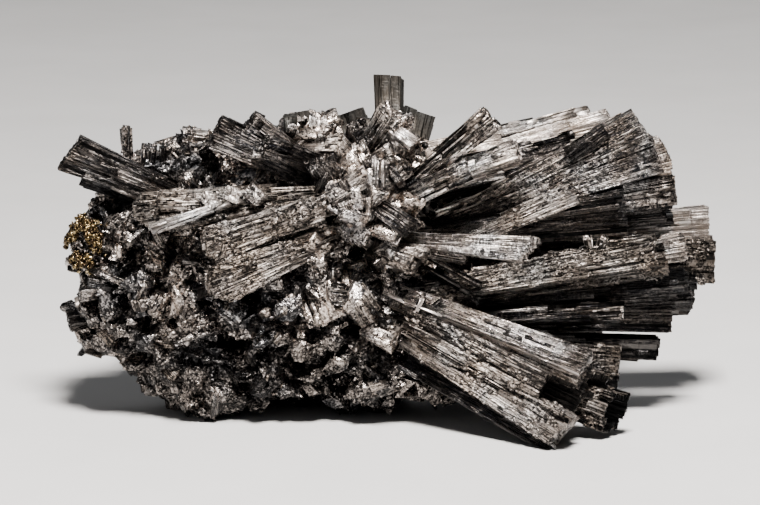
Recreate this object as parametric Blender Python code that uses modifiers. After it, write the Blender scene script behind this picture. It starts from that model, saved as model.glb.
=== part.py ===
"""Enargite specimen: a porous matrix with striated crystals that fan out of it, and a patch of pyrite.

Lengths are in millimetres until a mesh is made. +X runs along the specimen to the tips of its longest
sprays, +Z is up, and -Y looks out of its best face. It stands on the broken base of the matrix and on one
crystal tip.
"""

import math
import random
from typing import NamedTuple

import bmesh
import bpy
from mathutils import Matrix, Vector
from mathutils.bvhtree import BVHTree

MM = 0.001
GAP = 0.3  # clearance of a crystal in its socket in the matrix
BASE_DEPTH = 20.0  # how far down the floor block reaches
CENTRE = Vector((0.5, 0.2, 0.0))  # middle of the specimen's length and depth, which becomes the origin

TOWARDS_VIEW = (0.0, -1.0, 0.0)
TILTED_UP = (0.0, -0.75, 0.65)
TILTED_DOWN = (0.0, -0.9, -0.45)
FACING_BACK = (0.0, 1.0, 0.2)


class Blade(NamedTuple):
    """One striated crystal: a tapered lath from root to tip, with flat sides and a broken end."""

    root: tuple
    tip: tuple
    wide: tuple  # across the broad face, at root and tip
    thick: tuple  # between the broad faces, at root and tip
    face: tuple = TOWARDS_VIEW  # the way the broad face looks
    flutes: int = 4  # ribs on each broad face
    slant: float = 0.0  # how much further one edge of the end reaches
    arc: float = 0.0  # how far both edges of a rounded end fall back
    ragged: float = 0.9  # how far single ribs are broken short
    hollow: float = 0.0  # depth of a pit in the end


SPRAYS = {
    "upper_right_spray": [
        Blade((3.0, 1.4, 31.4), (14.0, 2.6, 33.4), (2.6, 3.2), (1.8, 2.0), TILTED_UP, 3, ragged=0.4),
        Blade((3.0, 2.0, 30.3), (25.2, 5.8, 34.6), (3.4, 4.8), (2.0, 2.6), TILTED_UP, 5),
        Blade((4.0, 1.0, 29.2), (27.6, 4.6, 34.6), (2.6, 4.4), (2.0, 2.6), TILTED_UP, 4, ragged=1.6),
        Blade((4.5, 0.5, 27.8), (23.5, 2.6, 32.2), (3.0, 4.6), (2.2, 3.0), TILTED_UP, 4, ragged=2.4),
        Blade((8.2, -1.8, 24.6), (30.6, -2.0, 36.1), (2.2, 4.4), (2.0, 2.6), flutes=6, slant=-0.3),
        Blade((8.2, -2.0, 24.2), (32.6, -1.8, 32.6), (2.2, 4.6), (2.2, 2.8), flutes=6),
        Blade((6.5, 0.5, 24.0), (34.2, 1.2, 31.4), (2.6, 5.6), (2.4, 3.2), flutes=7, arc=0.4),
        Blade((7.0, -1.5, 23.4), (34.9, 0.2, 28.0), (2.2, 3.6), (2.4, 3.2), flutes=5),
        Blade((21.8, -3.4, 32.6), (26.2, -3.6, 35.8), (1.8, 1.9), (1.4, 1.5), flutes=3, ragged=0.3),
        Blade((6.0, -2.4, 23.2), (28.8, -2.6, 26.0), (2.4, 4.6), (2.4, 3.4), TILTED_DOWN, 5, ragged=2.5),
    ],
    "forked_blade": [
        Blade((3.2, -5.6, 29.9), (12.6, -7.8, 38.0), (1.6, 3.4), (1.2, 1.7), flutes=5),
        Blade((3.2, -6.6, 28.6), (9.9, -7.6, 32.0), (2.2, 2.5), (2.0, 2.2), flutes=3, ragged=0.3),
        Blade((3.2, -5.8, 28.8), (15.8, -7.0, 33.8), (1.8, 2.8), (1.6, 2.2), TILTED_UP, 4),
    ],
    "centre_blade": [
        Blade(
            (1.6, -6.0, 22.9), (16.9, -14.0, 23.3), (1.5, 3.1), (1.4, 2.0),
            (0.2, -0.95, 0.3), 5, slant=1.1, ragged=0.4,
        ),
        Blade((1.6, -5.6, 22.2), (9.6, -9.4, 21.4), (1.4, 1.6), (1.4, 1.2), TILTED_DOWN, 2),
    ],
    "middle_right_spray": [
        Blade((5.0, -5.0, 15.8), (33.6, -3.4, 20.6), (3.0, 4.8), (2.4, 3.0), TILTED_UP, 5, ragged=1.6),
        Blade((6.0, -4.4, 16.2), (36.0, -2.6, 21.4), (1.8, 3.0), (1.8, 2.6), flutes=3, ragged=0.6),
        Blade((6.0, -3.6, 14.0), (36.9, -0.4, 15.2), (3.0, 5.4), (2.4, 3.2), TILTED_DOWN, 6, ragged=2.0),
        Blade(
            (6.0, -4.6, 12.2), (28.4, -5.8, 14.0), (1.9, 2.0), (2.0, 1.8),
            TILTED_UP, 3, slant=0.6, ragged=0.3,
        ),
        Blade((6.0, -2.4, 12.6), (34.6, -0.6, 12.0), (2.4, 3.2), (2.2, 2.6), flutes=4),
    ],
    "underside_spray": [
        Blade((5.0, -2.6, 9.8), (33.2, -0.6, 8.2), (2.0, 2.7), (2.0, 2.4), flutes=3, ragged=0.7),
        Blade((5.0, -4.0, 9.0), (28.2, -5.2, 7.4), (2.0, 4.2), (2.0, 2.6), flutes=6, ragged=0.5),
        Blade((5.0, -3.6, 7.6), (28.0, -5.6, 4.8), (2.0, 2.7), (2.0, 2.4), flutes=4),
    ],
    "far_right_spray": [
        Blade((6.5, 4.4, 21.6), (35.0, 4.6, 24.6), (2.2, 3.4), (2.4, 2.6), TILTED_DOWN, 3, ragged=2.6),
        Blade((6.5, 5.4, 20.0), (39.7, 8.6, 21.8), (2.6, 4.5), (2.4, 3.0), flutes=4, ragged=0.4),
        Blade((6.5, 5.4, 18.4), (40.5, 8.0, 17.4), (3.4, 5.6), (2.6, 3.6), flutes=5, ragged=1.2),
        Blade((6.5, 5.0, 16.4), (38.0, 6.2, 13.8), (3.2, 4.4), (2.6, 3.4), TILTED_DOWN, 5, ragged=1.4),
    ],
    "lower_right_spray": [
        Blade(
            (2.6, -6.6, 15.4), (23.6, -15.2, 8.6), (2.2, 3.6), (2.6, 4.6),
            (0.1, -0.6, 0.8), 5, ragged=0.7,
        ),
        Blade(
            (2.8, -7.4, 13.4), (21.4, -16.8, 5.6), (3.2, 4.2), (2.2, 3.4),
            flutes=5, ragged=0.4, hollow=4.2,
        ),
        Blade(
            (2.6, -6.8, 10.8), (21.0, -17.6, 2.2), (2.4, 4.2), (2.4, 3.6),
            flutes=5, slant=0.6, ragged=0.5,
        ),
        Blade((3.0, -7.0, 8.2), (20.4, -16.0, 1.0), (2.6, 4.4), (2.4, 3.4), flutes=5, ragged=1.4),
        Blade(
            (6.4, -6.8, 10.6), (26.0, -14.0, 6.4), (2.4, 3.2), (2.4, 3.4),
            flutes=4, ragged=0.4, hollow=2.4,
        ),
        Blade(
            (6.4, -6.4, 9.2), (28.4, -12.8, 2.9), (2.6, 5.0), (2.4, 3.4),
            flutes=5, ragged=0.8, hollow=1.6,
        ),
    ],
    "upper_left_spray": [
        Blade((-8.6, -4.0, 30.0), (-20.6, -5.4, 36.0), (2.4, 4.2), (2.2, 2.8), flutes=5, ragged=0.8),
        Blade((-8.6, -3.4, 30.6), (-16.8, -4.8, 36.8), (2.6, 3.4), (2.2, 2.6), flutes=4, ragged=0.8),
        Blade((-7.4, -3.4, 31.4), (-16.4, -5.0, 33.2), (2.2, 2.6), (2.4, 2.4), TILTED_UP, 3),
        Blade((-8.6, -4.4, 32.0), (-14.6, -8.0, 34.8), (2.2, 2.4), (2.6, 1.8), flutes=3, ragged=0.4),
    ],
    "far_left_spray": [
        Blade(
            (-25.0, -2.0, 27.2), (-38.2, -3.0, 32.9), (2.4, 4.5), (1.8, 2.6),
            flutes=6, slant=0.6, ragged=0.6,
        ),
        Blade((-25.0, -1.4, 25.8), (-36.6, -1.8, 30.0), (1.8, 2.2), (1.8, 2.2), TILTED_DOWN, 3),
    ],
    "left_spray": [
        Blade((-6.6, -6.0, 28.6), (-29.4, -8.6, 28.0), (1.6, 2.2), (1.8, 2.0), TILTED_UP, 3, ragged=2.4),
        Blade((-6.6, -7.0, 27.8), (-27.4, -11.6, 25.8), (1.6, 1.9), (1.6, 1.6), TILTED_UP, 3, ragged=1.4),
        Blade((-7.0, -6.8, 27.4), (-22.0, -11.4, 23.0), (2.2, 4.6), (2.2, 2.8), flutes=5, ragged=0.8),
        Blade(
            (-6.0, -6.6, 25.4), (-21.4, -11.8, 18.4), (2.4, 5.6), (2.4, 3.2),
            flutes=6, arc=1.2, ragged=0.6,
        ),
    ],
    "top_back_spray": [
        Blade((0.4, 10.4, 26.0), (0.2, 16.8, 38.8), (2.6, 3.3), (2.2, 2.4), flutes=4, ragged=0.5),
        Blade((1.6, 10.6, 25.6), (4.0, 16.6, 34.2), (3.2, 4.0), (2.2, 3.0), flutes=4),
        Blade((-1.4, 10.4, 25.6), (-4.4, 15.8, 34.2), (3.0, 3.6), (2.2, 2.8), flutes=4),
    ],
    "small_back_spray": [
        Blade((-9.6, 8.6, 26.6), (-10.9, 14.2, 34.4), (2.6, 3.8), (2.2, 2.6), flutes=4),
        Blade((-11.0, 9.0, 26.6), (-15.6, 14.6, 32.0), (2.4, 3.2), (2.0, 2.4), FACING_BACK, 4),
    ],
    "rear_right_spray": [
        Blade((3.4, 11.0, 22.6), (25.6, 15.4, 29.4), (2.8, 5.4), (2.2, 3.0), FACING_BACK, 6, arc=0.6),
        Blade((3.4, 11.6, 20.6), (31.0, 15.8, 23.6), (3.4, 5.6), (2.4, 3.2), FACING_BACK, 6, ragged=1.6),
        Blade((3.4, 12.2, 18.6), (27.0, 18.0, 17.6), (2.8, 4.4), (2.4, 3.0), FACING_BACK, 5, ragged=1.6),
    ],
    "rear_lower_spray": [
        Blade((1.4, 11.2, 12.6), (27.4, 13.4, 9.6), (2.8, 5.2), (2.4, 3.0), FACING_BACK, 5),
        Blade((1.4, 12.0, 10.6), (21.4, 17.4, 5.8), (2.6, 4.4), (2.4, 3.0), FACING_BACK, 5, ragged=1.4),
    ],
    "rear_left_spray": [
        Blade((-14.0, 10.8, 19.4), (-28.6, 16.2, 25.8), (2.6, 4.8), (2.2, 2.8), FACING_BACK, 5),
        Blade(
            (-14.0, 11.4, 17.4), (-31.0, 16.0, 19.4), (2.6, 4.4), (2.2, 2.8),
            FACING_BACK, 5, ragged=1.6,
        ),
        Blade((-13.0, 11.0, 17.4), (-22.0, 17.6, 13.6), (2.8, 4.0), (2.4, 2.8), FACING_BACK, 4),
    ],
}

# Rounded masses that merge into the matrix: centre and radii.
LUMPS = [
    ((-9.0, 4.0, 16.5), (16.0, 12.0, 14.5)),
    ((-26.0, 2.0, 20.0), (11.0, 9.0, 9.0)),
    ((-31.0, 0.0, 18.5), (7.2, 7.5, 9.4)),
    ((-29.0, 1.0, 11.8), (8.2, 8.0, 7.4)),
    ((-21.5, 1.5, 6.6), (9.6, 9.0, 7.4)),
    ((-3.0, 2.5, 6.5), (9.0, 9.5, 7.5)),
    ((1.0, 2.0, 19.5), (5.5, 8.5, 12.0)),
    ((-3.5, 0.0, 27.5), (9.5, 8.0, 5.8)),
    ((-19.0, 3.0, 27.8), (12.5, 8.0, 5.6)),
    ((-8.0, 4.0, 29.6), (9.0, 7.0, 5.4)),
    ((5.0, -0.6, 6.2), (7.0, 7.4, 4.8)),
    ((-10.0, 9.0, 5.0), (13.0, 9.0, 7.0)),
    ((6.0, 7.5, 17.0), (8.0, 6.0, 10.0)),
    ((-12.0, -4.0, 13.0), (11.0, 6.0, 9.0)),
]

# Dark cavities between the crystals: centre and radii.
PITS = [
    ((-19.5, -7.0, 31.4), (2.4, 2.6, 1.9)),
    ((-26.0, -8.5, 23.0), (2.9, 2.6, 1.8)),
    ((-31.0, -6.4, 20.5), (1.5, 2.4, 2.4)),
    ((-25.0, -8.6, 17.6), (1.6, 2.6, 1.6)),
    ((-17.0, -9.6, 16.4), (2.0, 2.6, 1.5)),
    ((-3.4, -8.0, 21.0), (2.8, 2.8, 1.7)),
    ((-4.2, -8.0, 12.4), (1.2, 2.4, 1.4)),
    ((-17.4, -8.0, 11.0), (2.2, 2.4, 1.3)),
    ((-16.6, -5.6, 5.0), (2.4, 2.6, 1.4)),
    ((-23.0, -6.4, 10.0), (1.8, 2.2, 1.2)),
    ((2.0, -7.0, 18.2), (2.6, 2.8, 1.5)),
]

# Single short crystals fused to the matrix: root, tip, width and thickness.
STUBS = [
    ((0.4, -0.4, 30.5), (0.9, -2.6, 37.8), 3.6, 3.2),
    ((3.4, -1.6, 30.6), (2.8, -3.6, 34.6), 2.4, 1.6),
    ((-6.0, 0.0, 31.0), (-5.2, -0.6, 34.4), 2.2, 1.8),
    ((-8.4, -0.4, 31.0), (-8.2, -3.0, 37.4), 2.0, 1.6),
    ((-11.2, 0.6, 31.0), (-11.6, -0.4, 37.0), 1.6, 1.6),
    ((-3.4, 1.0, 31.0), (-2.6, 1.6, 36.4), 2.0, 1.8),
    ((-31.2, 2.0, 26.0), (-31.6, 2.0, 35.0), 1.6, 1.6),
    ((-24.0, 3.0, 29.0), (-23.6, 3.4, 34.8), 2.2, 1.8),
    ((-29.0, 0.0, 28.0), (-28.6, -0.6, 33.4), 2.0, 1.8),
    ((-26.4, 0.6, 29.0), (-26.0, -0.2, 33.2), 2.4, 1.6),
    ((-22.0, -4.0, 27.0), (-23.8, -7.2, 30.0), 1.6, 1.6),
    ((-30.0, -3.0, 16.6), (-37.0, -5.4, 15.8), 1.5, 1.4),
    ((-33.0, -1.0, 12.8), (-38.7, -2.0, 11.8), 2.4, 1.8),
    ((-28.0, -5.0, 13.6), (-29.6, -7.6, 15.8), 1.7, 1.2),
    ((-2.0, -5.0, 22.0), (3.6, -9.4, 21.0), 3.0, 1.6),
    ((-3.0, -5.6, 16.6), (0.4, -9.6, 11.8), 3.0, 1.6),
    ((-7.0, -6.0, 16.0), (-6.2, -9.8, 17.4), 3.0, 2.6),
    ((-21.0, -6.0, 14.0), (-24.6, -9.4, 12.2), 3.4, 2.4),
    ((1.4, -4.0, 12.0), (2.4, -8.4, 9.4), 2.0, 1.6),
]
SCATTERED_STUBS = 24  # more of them, spread all round

PYRITE_CENTRE = Vector((-36.0, -4.2, 21.5))
PYRITE_FACING = Vector((-0.5, -0.85, 0.1))
PYRITE_RING = (1.6, 2.6)  # half width and half height of the ring of grains
PYRITE_GRAINS = 16
GRAIN = 0.85  # mean half size of a grain


def new_object(name, bm, collection):
    """An object holding this mesh, which is given in millimetres from the drawing's own origin."""
    bmesh.ops.transform(bm, matrix=Matrix.Scale(MM, 4) @ Matrix.Translation(-CENTRE), verts=bm.verts)
    mesh = bpy.data.meshes.new(name)
    bm.to_mesh(mesh)
    bm.free()
    made = bpy.data.objects.new(name, mesh)
    collection.objects.link(made)
    return made


def helper_collection(name):
    """A collection of cutters and building pieces, which stay out of the part."""
    made = bpy.data.collections.new(name)
    bpy.context.scene.collection.children.link(made)
    made.hide_render = True
    return made


def hide_helpers(collection):
    for helper in collection.objects:
        helper.hide_render = True
        helper.display_type = "WIRE"


def material(name, colour, metallic, roughness):
    made = bpy.data.materials.new(name)
    made.use_nodes = True
    shader = made.node_tree.nodes["Principled BSDF"]
    shader.inputs["Base Color"].default_value = (*colour, 1.0)
    shader.inputs["Metallic"].default_value = metallic
    shader.inputs["Roughness"].default_value = roughness
    return made


def section(broad, narrow):
    """Corners and ribs round a square, counter-clockwise, as (u, v) from -1 to 1.

    The wide sides are v = 1 and v = -1.
    """
    sides = (
        ((1, -1), (0, 2), narrow),
        ((1, 1), (-2, 0), broad),
        ((-1, 1), (0, -2), narrow),
        ((-1, -1), (2, 0), broad),
    )
    return [(u + du * i / n, v + dv * i / n) for (u, v), (du, dv), n in sides for i in range(n)]


def blade_axes(blade):
    """Unit vectors along the blade, across its broad face and out of that face."""
    along = (Vector(blade.tip) - Vector(blade.root)).normalized()
    face = Vector(blade.face)
    out = (face - along * face.dot(along)).normalized()
    return along, out.cross(along), out


def grow_blade(bm, blade, seed):
    """Adds the blade: a cylinder whose columns become ribs and grooves and break at their own lengths."""
    rng = random.Random(seed)
    narrow = max(1, round(blade.flutes * blade.thick[1] / blade.wide[1] / 2))
    columns = section(blade.flutes, narrow)
    depth = [rng.uniform(0.10, 0.30) if i % 2 else rng.uniform(0.0, 0.08) for i in range(len(columns))]
    broken = [rng.uniform(0.0, blade.ragged) for _ in columns]
    along, across, out = blade_axes(blade)
    length = (Vector(blade.tip) - Vector(blade.root)).length
    made = bmesh.ops.create_cone(
        bm, cap_ends=True, cap_tris=True, segments=len(columns), radius1=1, radius2=1, depth=2
    )["verts"]
    for vertex in made:
        end = vertex.co.z > 0
        wide, thick = blade.wide[end], blade.thick[end]
        if vertex.co.xy.length < 0.5:  # the middle of an end
            u = v = 0.0
            reach = length * end - (blade.hollow + blade.ragged / 2) * end
        else:
            turn = math.atan2(vertex.co.y, vertex.co.x) / math.tau
            column = round(turn * len(columns)) % len(columns)
            u, v = (x * (1 - depth[column]) for x in columns[column])
            reach = (length + blade.slant * u - blade.arc * u * u - broken[column]) * end
        vertex.co = Vector(blade.root) + along * reach + across * u * wide / 2 + out * v * thick / 2
    bmesh.ops.recalc_face_normals(bm, faces=list({f for vertex in made for f in vertex.link_faces}))


def sleeve(bm, blade, room=GAP):
    """Adds a plain box frustum round the blade, with some room on every side: the blade's socket."""
    along, across, out = blade_axes(blade)
    length = (Vector(blade.tip) - Vector(blade.root)).length
    for vertex in bmesh.ops.create_cube(bm, size=2)["verts"]:
        end = vertex.co.z > 0
        reach = length + abs(blade.slant) + room if end else -room
        side = across * vertex.co.x * (blade.wide[end] / 2 + room)
        side += out * vertex.co.y * (blade.thick[end] / 2 + room)
        vertex.co = Vector(blade.root) + along * reach + side
    bmesh.ops.recalc_face_normals(bm, faces=bm.faces)


def boolean(target, operation, operand, solver="EXACT"):
    """Adds a Boolean modifier. The operand is an object, or a collection whose objects are all used."""
    modifier = target.modifiers.new(operation.lower(), "BOOLEAN")
    modifier.operation = operation
    modifier.solver = solver
    if isinstance(operand, bpy.types.Collection):
        modifier.operand_type = "COLLECTION"
        modifier.collection = operand
    else:
        modifier.object = operand
    return modifier


def settle(target):
    """Replaces the object's mesh by what its modifiers make of it."""
    graph = bpy.context.evaluated_depsgraph_get()
    mesh = bpy.data.meshes.new_from_object(target.evaluated_get(graph))
    target.modifiers.clear()
    target.data = mesh


def keep_largest_body(target):
    """Deletes the crumbs that cutting leaves loose."""
    bm = bmesh.new()
    bm.from_mesh(target.data)
    unseen, bodies = set(bm.verts), []
    while unseen:
        body, edge = set(), [unseen.pop()]
        while edge:
            vertex = edge.pop()
            body.add(vertex)
            near = {e.other_vert(vertex) for e in vertex.link_edges} & unseen
            unseen -= near
            edge.extend(near)
        bodies.append(body)
    bodies.sort(key=len)
    for crumb in bodies[:-1]:
        bmesh.ops.delete(bm, geom=list(crumb), context="VERTS")
    bm.to_mesh(target.data)
    bm.free()


def floor_block(collection):
    """A block under the floor, which cuts flat rests where the specimen stands."""
    bm = bmesh.new()
    bmesh.ops.create_cube(bm, size=1, matrix=Matrix.Diagonal((120.0, 120.0, BASE_DEPTH, 1.0)))
    bmesh.ops.translate(bm, vec=(0.0, 0.0, -BASE_DEPTH / 2), verts=bm.verts)
    return new_object("floor_block", bm, collection)


def fuse(name, meshes, home):
    """One solid out of overlapping closed meshes: the first becomes the object and is joined to the rest."""
    others = helper_collection(name + "_pieces")
    joined = new_object(name, meshes[0], home)
    for number, bm in enumerate(meshes[1:], start=1):
        new_object(f"{name}_piece_{number}", bm, others)
    hide_helpers(others)
    if len(meshes) > 1:
        boolean(joined, "UNION", others)
    return joined


def blade_mesh(blade, seed):
    bm = bmesh.new()
    grow_blade(bm, blade, seed)
    bmesh.ops.triangulate(bm, faces=bm.faces)
    return bm


def socket_mesh(blade):
    bm = bmesh.new()
    sleeve(bm, blade)
    return bm


def lumps_object(name, lumps, subdivisions, collection):
    """Ellipsoids in one object, still overlapping."""
    bm = bmesh.new()
    for centre, radii in lumps:
        place = Matrix.Translation(centre) @ Matrix.Diagonal((*radii, 1.0))
        bmesh.ops.create_icosphere(bm, subdivisions=subdivisions, radius=1.0, matrix=place)
    return new_object(name, bm, collection)


def roughen(target, kind, size, strength):
    """Pushes the surface in and out by a procedural texture."""
    texture = bpy.data.textures.new(f"{kind.lower()}_{size}", kind)
    texture.noise_scale = size * MM
    modifier = target.modifiers.new("rough", "DISPLACE")
    modifier.texture = texture
    modifier.texture_coords = "LOCAL"
    modifier.strength = strength * MM
    modifier.mid_level = 0.5


def stub(bm, root, tip, wide, thick, spin):
    """Adds a short six-sided crystal with a blunt end."""
    along = (Vector(tip) - Vector(root)).normalized()
    place = Matrix.Translation((Vector(tip) + Vector(root)) / 2)
    place @= along.to_track_quat("Z", "Y").to_matrix().to_4x4()
    place @= Matrix.Rotation(spin, 4, "Z") @ Matrix.Diagonal((wide / 2, thick / 2, 1.0, 1.0))
    length = (Vector(tip) - Vector(root)).length
    bmesh.ops.create_cone(
        bm, cap_ends=True, segments=6, radius1=0.8, radius2=1.0, depth=length, matrix=place
    )


def scattered_stubs(surface):
    """Places for more stubs, found by looking back at the matrix from all round."""
    rng = random.Random(11)
    graph = bpy.context.evaluated_depsgraph_get()
    tree = BVHTree.FromObject(surface, graph)
    middle = Vector((-10.0, 3.0, 17.0))
    places = []
    while len(places) < SCATTERED_STUBS:
        away = Vector((rng.gauss(0, 1.4), rng.gauss(0, 1), rng.gauss(0, 0.8))).normalized()
        hit = tree.ray_cast((middle + away * 60 - CENTRE) * MM, -away)[0]
        if hit is None:
            continue
        foot = hit / MM + CENTRE
        if foot.z < 6:
            continue
        lean = (away + Vector(rng.uniform(-0.5, 0.5) for _ in range(3))).normalized()
        tip = foot + lean * rng.uniform(1.0, 2.4)
        places.append((foot - lean * 2.0, tip, rng.uniform(1.6, 2.8), rng.uniform(1.2, 2.0)))
    return places


def grain_meshes(grow=0.0):
    """Cubes that overlap their neighbours round a ring, each one turned its own way."""
    rng = random.Random(5)
    facing = Matrix.Translation(PYRITE_CENTRE) @ PYRITE_FACING.to_track_quat("Z", "Y").to_matrix().to_4x4()
    grains = []
    for number in range(PYRITE_GRAINS):
        angle = math.tau * number / PYRITE_GRAINS
        ring = (PYRITE_RING[0] * math.cos(angle), PYRITE_RING[1] * math.sin(angle), rng.uniform(-0.3, 0.3))
        spin = Matrix.Rotation(rng.uniform(0, math.pi), 4, Vector([rng.uniform(-1, 1) for _ in range(3)]))
        half = GRAIN * rng.uniform(0.8, 1.15) + grow
        grain = bmesh.new()
        bmesh.ops.create_cube(grain, size=2 * half, matrix=facing @ Matrix.Translation(ring) @ spin)
        grains.append(grain)
    return grains


def build_matrix(part, cutters, floor, finish):
    """The porous mass that carries the sprays: roughened lumps with stubs, cavities, sockets and a base."""
    matrix = lumps_object("matrix", LUMPS, 3, part)
    remesh = matrix.modifiers.new("merge", "REMESH")
    remesh.mode = "VOXEL"
    remesh.voxel_size = 1.1 * MM
    roughen(matrix, "VORONOI", 5.0, 3.4)
    roughen(matrix, "CLOUDS", 2.2, 1.6)
    decimate = matrix.modifiers.new("facet", "DECIMATE")
    decimate.ratio = 0.21

    rng = random.Random(3)
    stubs = helper_collection("stubs")
    for number, (root, tip, wide, thick) in enumerate(STUBS + scattered_stubs(matrix)):
        bm = bmesh.new()
        stub(bm, root, tip, wide, thick, rng.uniform(0, math.pi))
        new_object(f"stub_{number}", bm, stubs)
    hide_helpers(stubs)
    boolean(matrix, "UNION", stubs, "MANIFOLD")

    pits = lumps_object("pits", PITS, 1, cutters)
    boolean(matrix, "DIFFERENCE", pits, "MANIFOLD")
    boolean(matrix, "DIFFERENCE", floor, "MANIFOLD")
    for name, blades in SPRAYS.items():
        socket = fuse(name + "_socket", [socket_mesh(blade) for blade in blades], cutters)
        boolean(matrix, "DIFFERENCE", socket, "MANIFOLD")
    pocket = fuse("pyrite_pocket", grain_meshes(GAP), cutters)
    boolean(matrix, "DIFFERENCE", pocket, "MANIFOLD")
    settle(matrix)
    keep_largest_body(matrix)
    matrix.data.materials.append(finish)
    return matrix


def main():
    for old in list(bpy.data.objects):
        bpy.data.objects.remove(old)
    part = bpy.data.collections.new("enargite_specimen")
    bpy.context.scene.collection.children.link(part)
    cutters = helper_collection("cutters")
    floor = floor_block(cutters)

    crystal = material("enargite_crystal", (0.16, 0.15, 0.145), 0.8, 0.4)
    granular = material("enargite_matrix", (0.10, 0.095, 0.09), 0.5, 0.6)
    brass = material("pyrite", (0.55, 0.42, 0.18), 1.0, 0.35)
    for name, blades in SPRAYS.items():
        meshes = [blade_mesh(blade, f"{name} {number}") for number, blade in enumerate(blades)]
        spray = fuse(name, meshes, part)
        boolean(spray, "DIFFERENCE", floor)
        spray.data.materials.append(crystal)
    pyrite = fuse("pyrite_patch", grain_meshes(), part)
    pyrite.data.materials.append(brass)
    build_matrix(part, cutters, floor, granular)
    hide_helpers(cutters)


main()
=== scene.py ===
# %% [markdown]
# # Enargite specimen
# A loose piece of enargite: flat, striated, dark metallic crystals that fan out of a porous, granular matrix, with a
# little pyrite at one end. The solid frame already holds every group as a plain closed shape. This lesson replaces
# each of them by layers of thin laths, breaks the matrix up into pores, shards and crumbs, and gives everything a
# metallic finish. Lengths are written in millimetres and turned into metres when a mesh is made.

import math
from collections import namedtuple
from dataclasses import dataclass

import bmesh
import bpy
import numpy as np
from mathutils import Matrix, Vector, bvhtree, noise


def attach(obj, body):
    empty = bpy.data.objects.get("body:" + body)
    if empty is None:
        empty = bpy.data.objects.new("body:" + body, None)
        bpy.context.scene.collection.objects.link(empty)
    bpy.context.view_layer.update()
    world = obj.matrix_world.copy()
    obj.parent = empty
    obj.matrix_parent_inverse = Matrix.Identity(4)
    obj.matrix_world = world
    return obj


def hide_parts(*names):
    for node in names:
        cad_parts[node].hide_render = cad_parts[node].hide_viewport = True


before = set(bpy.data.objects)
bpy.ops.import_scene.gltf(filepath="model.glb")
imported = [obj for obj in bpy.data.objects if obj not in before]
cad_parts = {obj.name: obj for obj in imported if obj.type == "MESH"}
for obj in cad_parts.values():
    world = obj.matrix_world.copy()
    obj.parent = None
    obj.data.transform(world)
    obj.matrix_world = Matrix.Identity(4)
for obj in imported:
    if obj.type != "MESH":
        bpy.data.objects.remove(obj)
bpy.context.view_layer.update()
MM = 0.001
ORIGIN = np.array((0.5, 0.2, 0.0))  # the frame's origin in the drawing's coordinates, in mm


# %% [markdown]
# ## One lath, modelled once
# Under a lens every crystal here is a stack of thin parallel laths that grew side by side and snapped off at
# different lengths. The stack could be one displaced block, but then the broken ends would melt together. Instead
# one lath is modelled as by hand, and thousands of copies are laid side by side, each squeezed, shifted and broken in
# its own way. A lath starts as a cube. Two of its long edges are bevelled, so that neighbours meet in a groove, and a
# cut across it gives it a place to bend.


# %% Model the laths
Template = namedtuple("Template", "points loops sizes around groove")


def nothing_selected():
    bpy.ops.object.select_all(action="DESELECT")


def read(items, key, width=0, kind=float):
    """One property of all the items as an array, with rows of that width unless it is a single number."""
    values = np.empty(len(items) * max(width, 1), dtype=kind)
    items.foreach_get(key, values)
    return values.reshape(-1, width) if width else values


def model_lath(bevelled, bevel, bends):
    """Models a cube from -1 to 1 across and 0 to 1 along Z, and reads its faces and the distances round it."""
    nothing_selected()
    bpy.ops.mesh.primitive_cube_add(size=2, location=(0, 0, 0))
    model = bpy.context.object
    bpy.ops.object.mode_set(mode="EDIT")
    bpy.ops.mesh.select_mode(type="EDGE")
    bpy.ops.mesh.select_all(action="DESELECT")
    for edge in bmesh.from_edit_mesh(model.data).edges:
        a, b = (corner.co for corner in edge.verts)
        edge.select_set(abs(a.z - b.z) > 0.1 and bevelled(a) and bevelled(b))
    bmesh.update_edit_mesh(model.data)
    bpy.ops.mesh.bevel(offset=bevel, segments=1, affect="EDGES")
    bpy.ops.mesh.select_all(action="SELECT")
    if bends:
        bpy.ops.mesh.bisect(plane_co=(0, 0, 0), plane_no=(0, 0, 1))
        bpy.ops.mesh.select_all(action="SELECT")
    bpy.ops.transform.resize(value=(1, 1, 0.5))
    bpy.ops.transform.translate(value=(0, 0, 0.5))
    bpy.ops.mesh.normals_make_consistent(inside=False)
    bpy.ops.object.mode_set(mode="OBJECT")
    points = read(model.data.vertices, "co", 3)
    faces = sorted(tuple(face.vertices) for face in model.data.polygons)  # bisect leaves them in any order
    loops, sizes = np.array([corner for face in faces for corner in face]), np.array([len(face) for face in faces])
    bpy.data.objects.remove(model)
    x, y = points[loops, 0], points[loops, 1]
    around = np.where(np.abs(y) > np.abs(x), x, y + 3.0)
    # the edge mark for painted light and shade: 0 on the crest of the lath and 1 elsewhere, so it rises into the
    # grooves
    crest = (points[:, 1] > 0.99) & (np.abs(points[:, 0]) < 0.99)
    return Template(points, loops, sizes, around, np.where(crest, 0.0, 1.0))


RIB = model_lath(lambda p: p.y > 0, 0.3, True)
BAR = model_lath(lambda p: True, 0.25, True)
CHIP = model_lath(lambda p: p.x * p.y > 0, 0.5, False)
print("points in rib, bar and chip:", len(RIB.points), len(BAR.points), len(CHIP.points))
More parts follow.
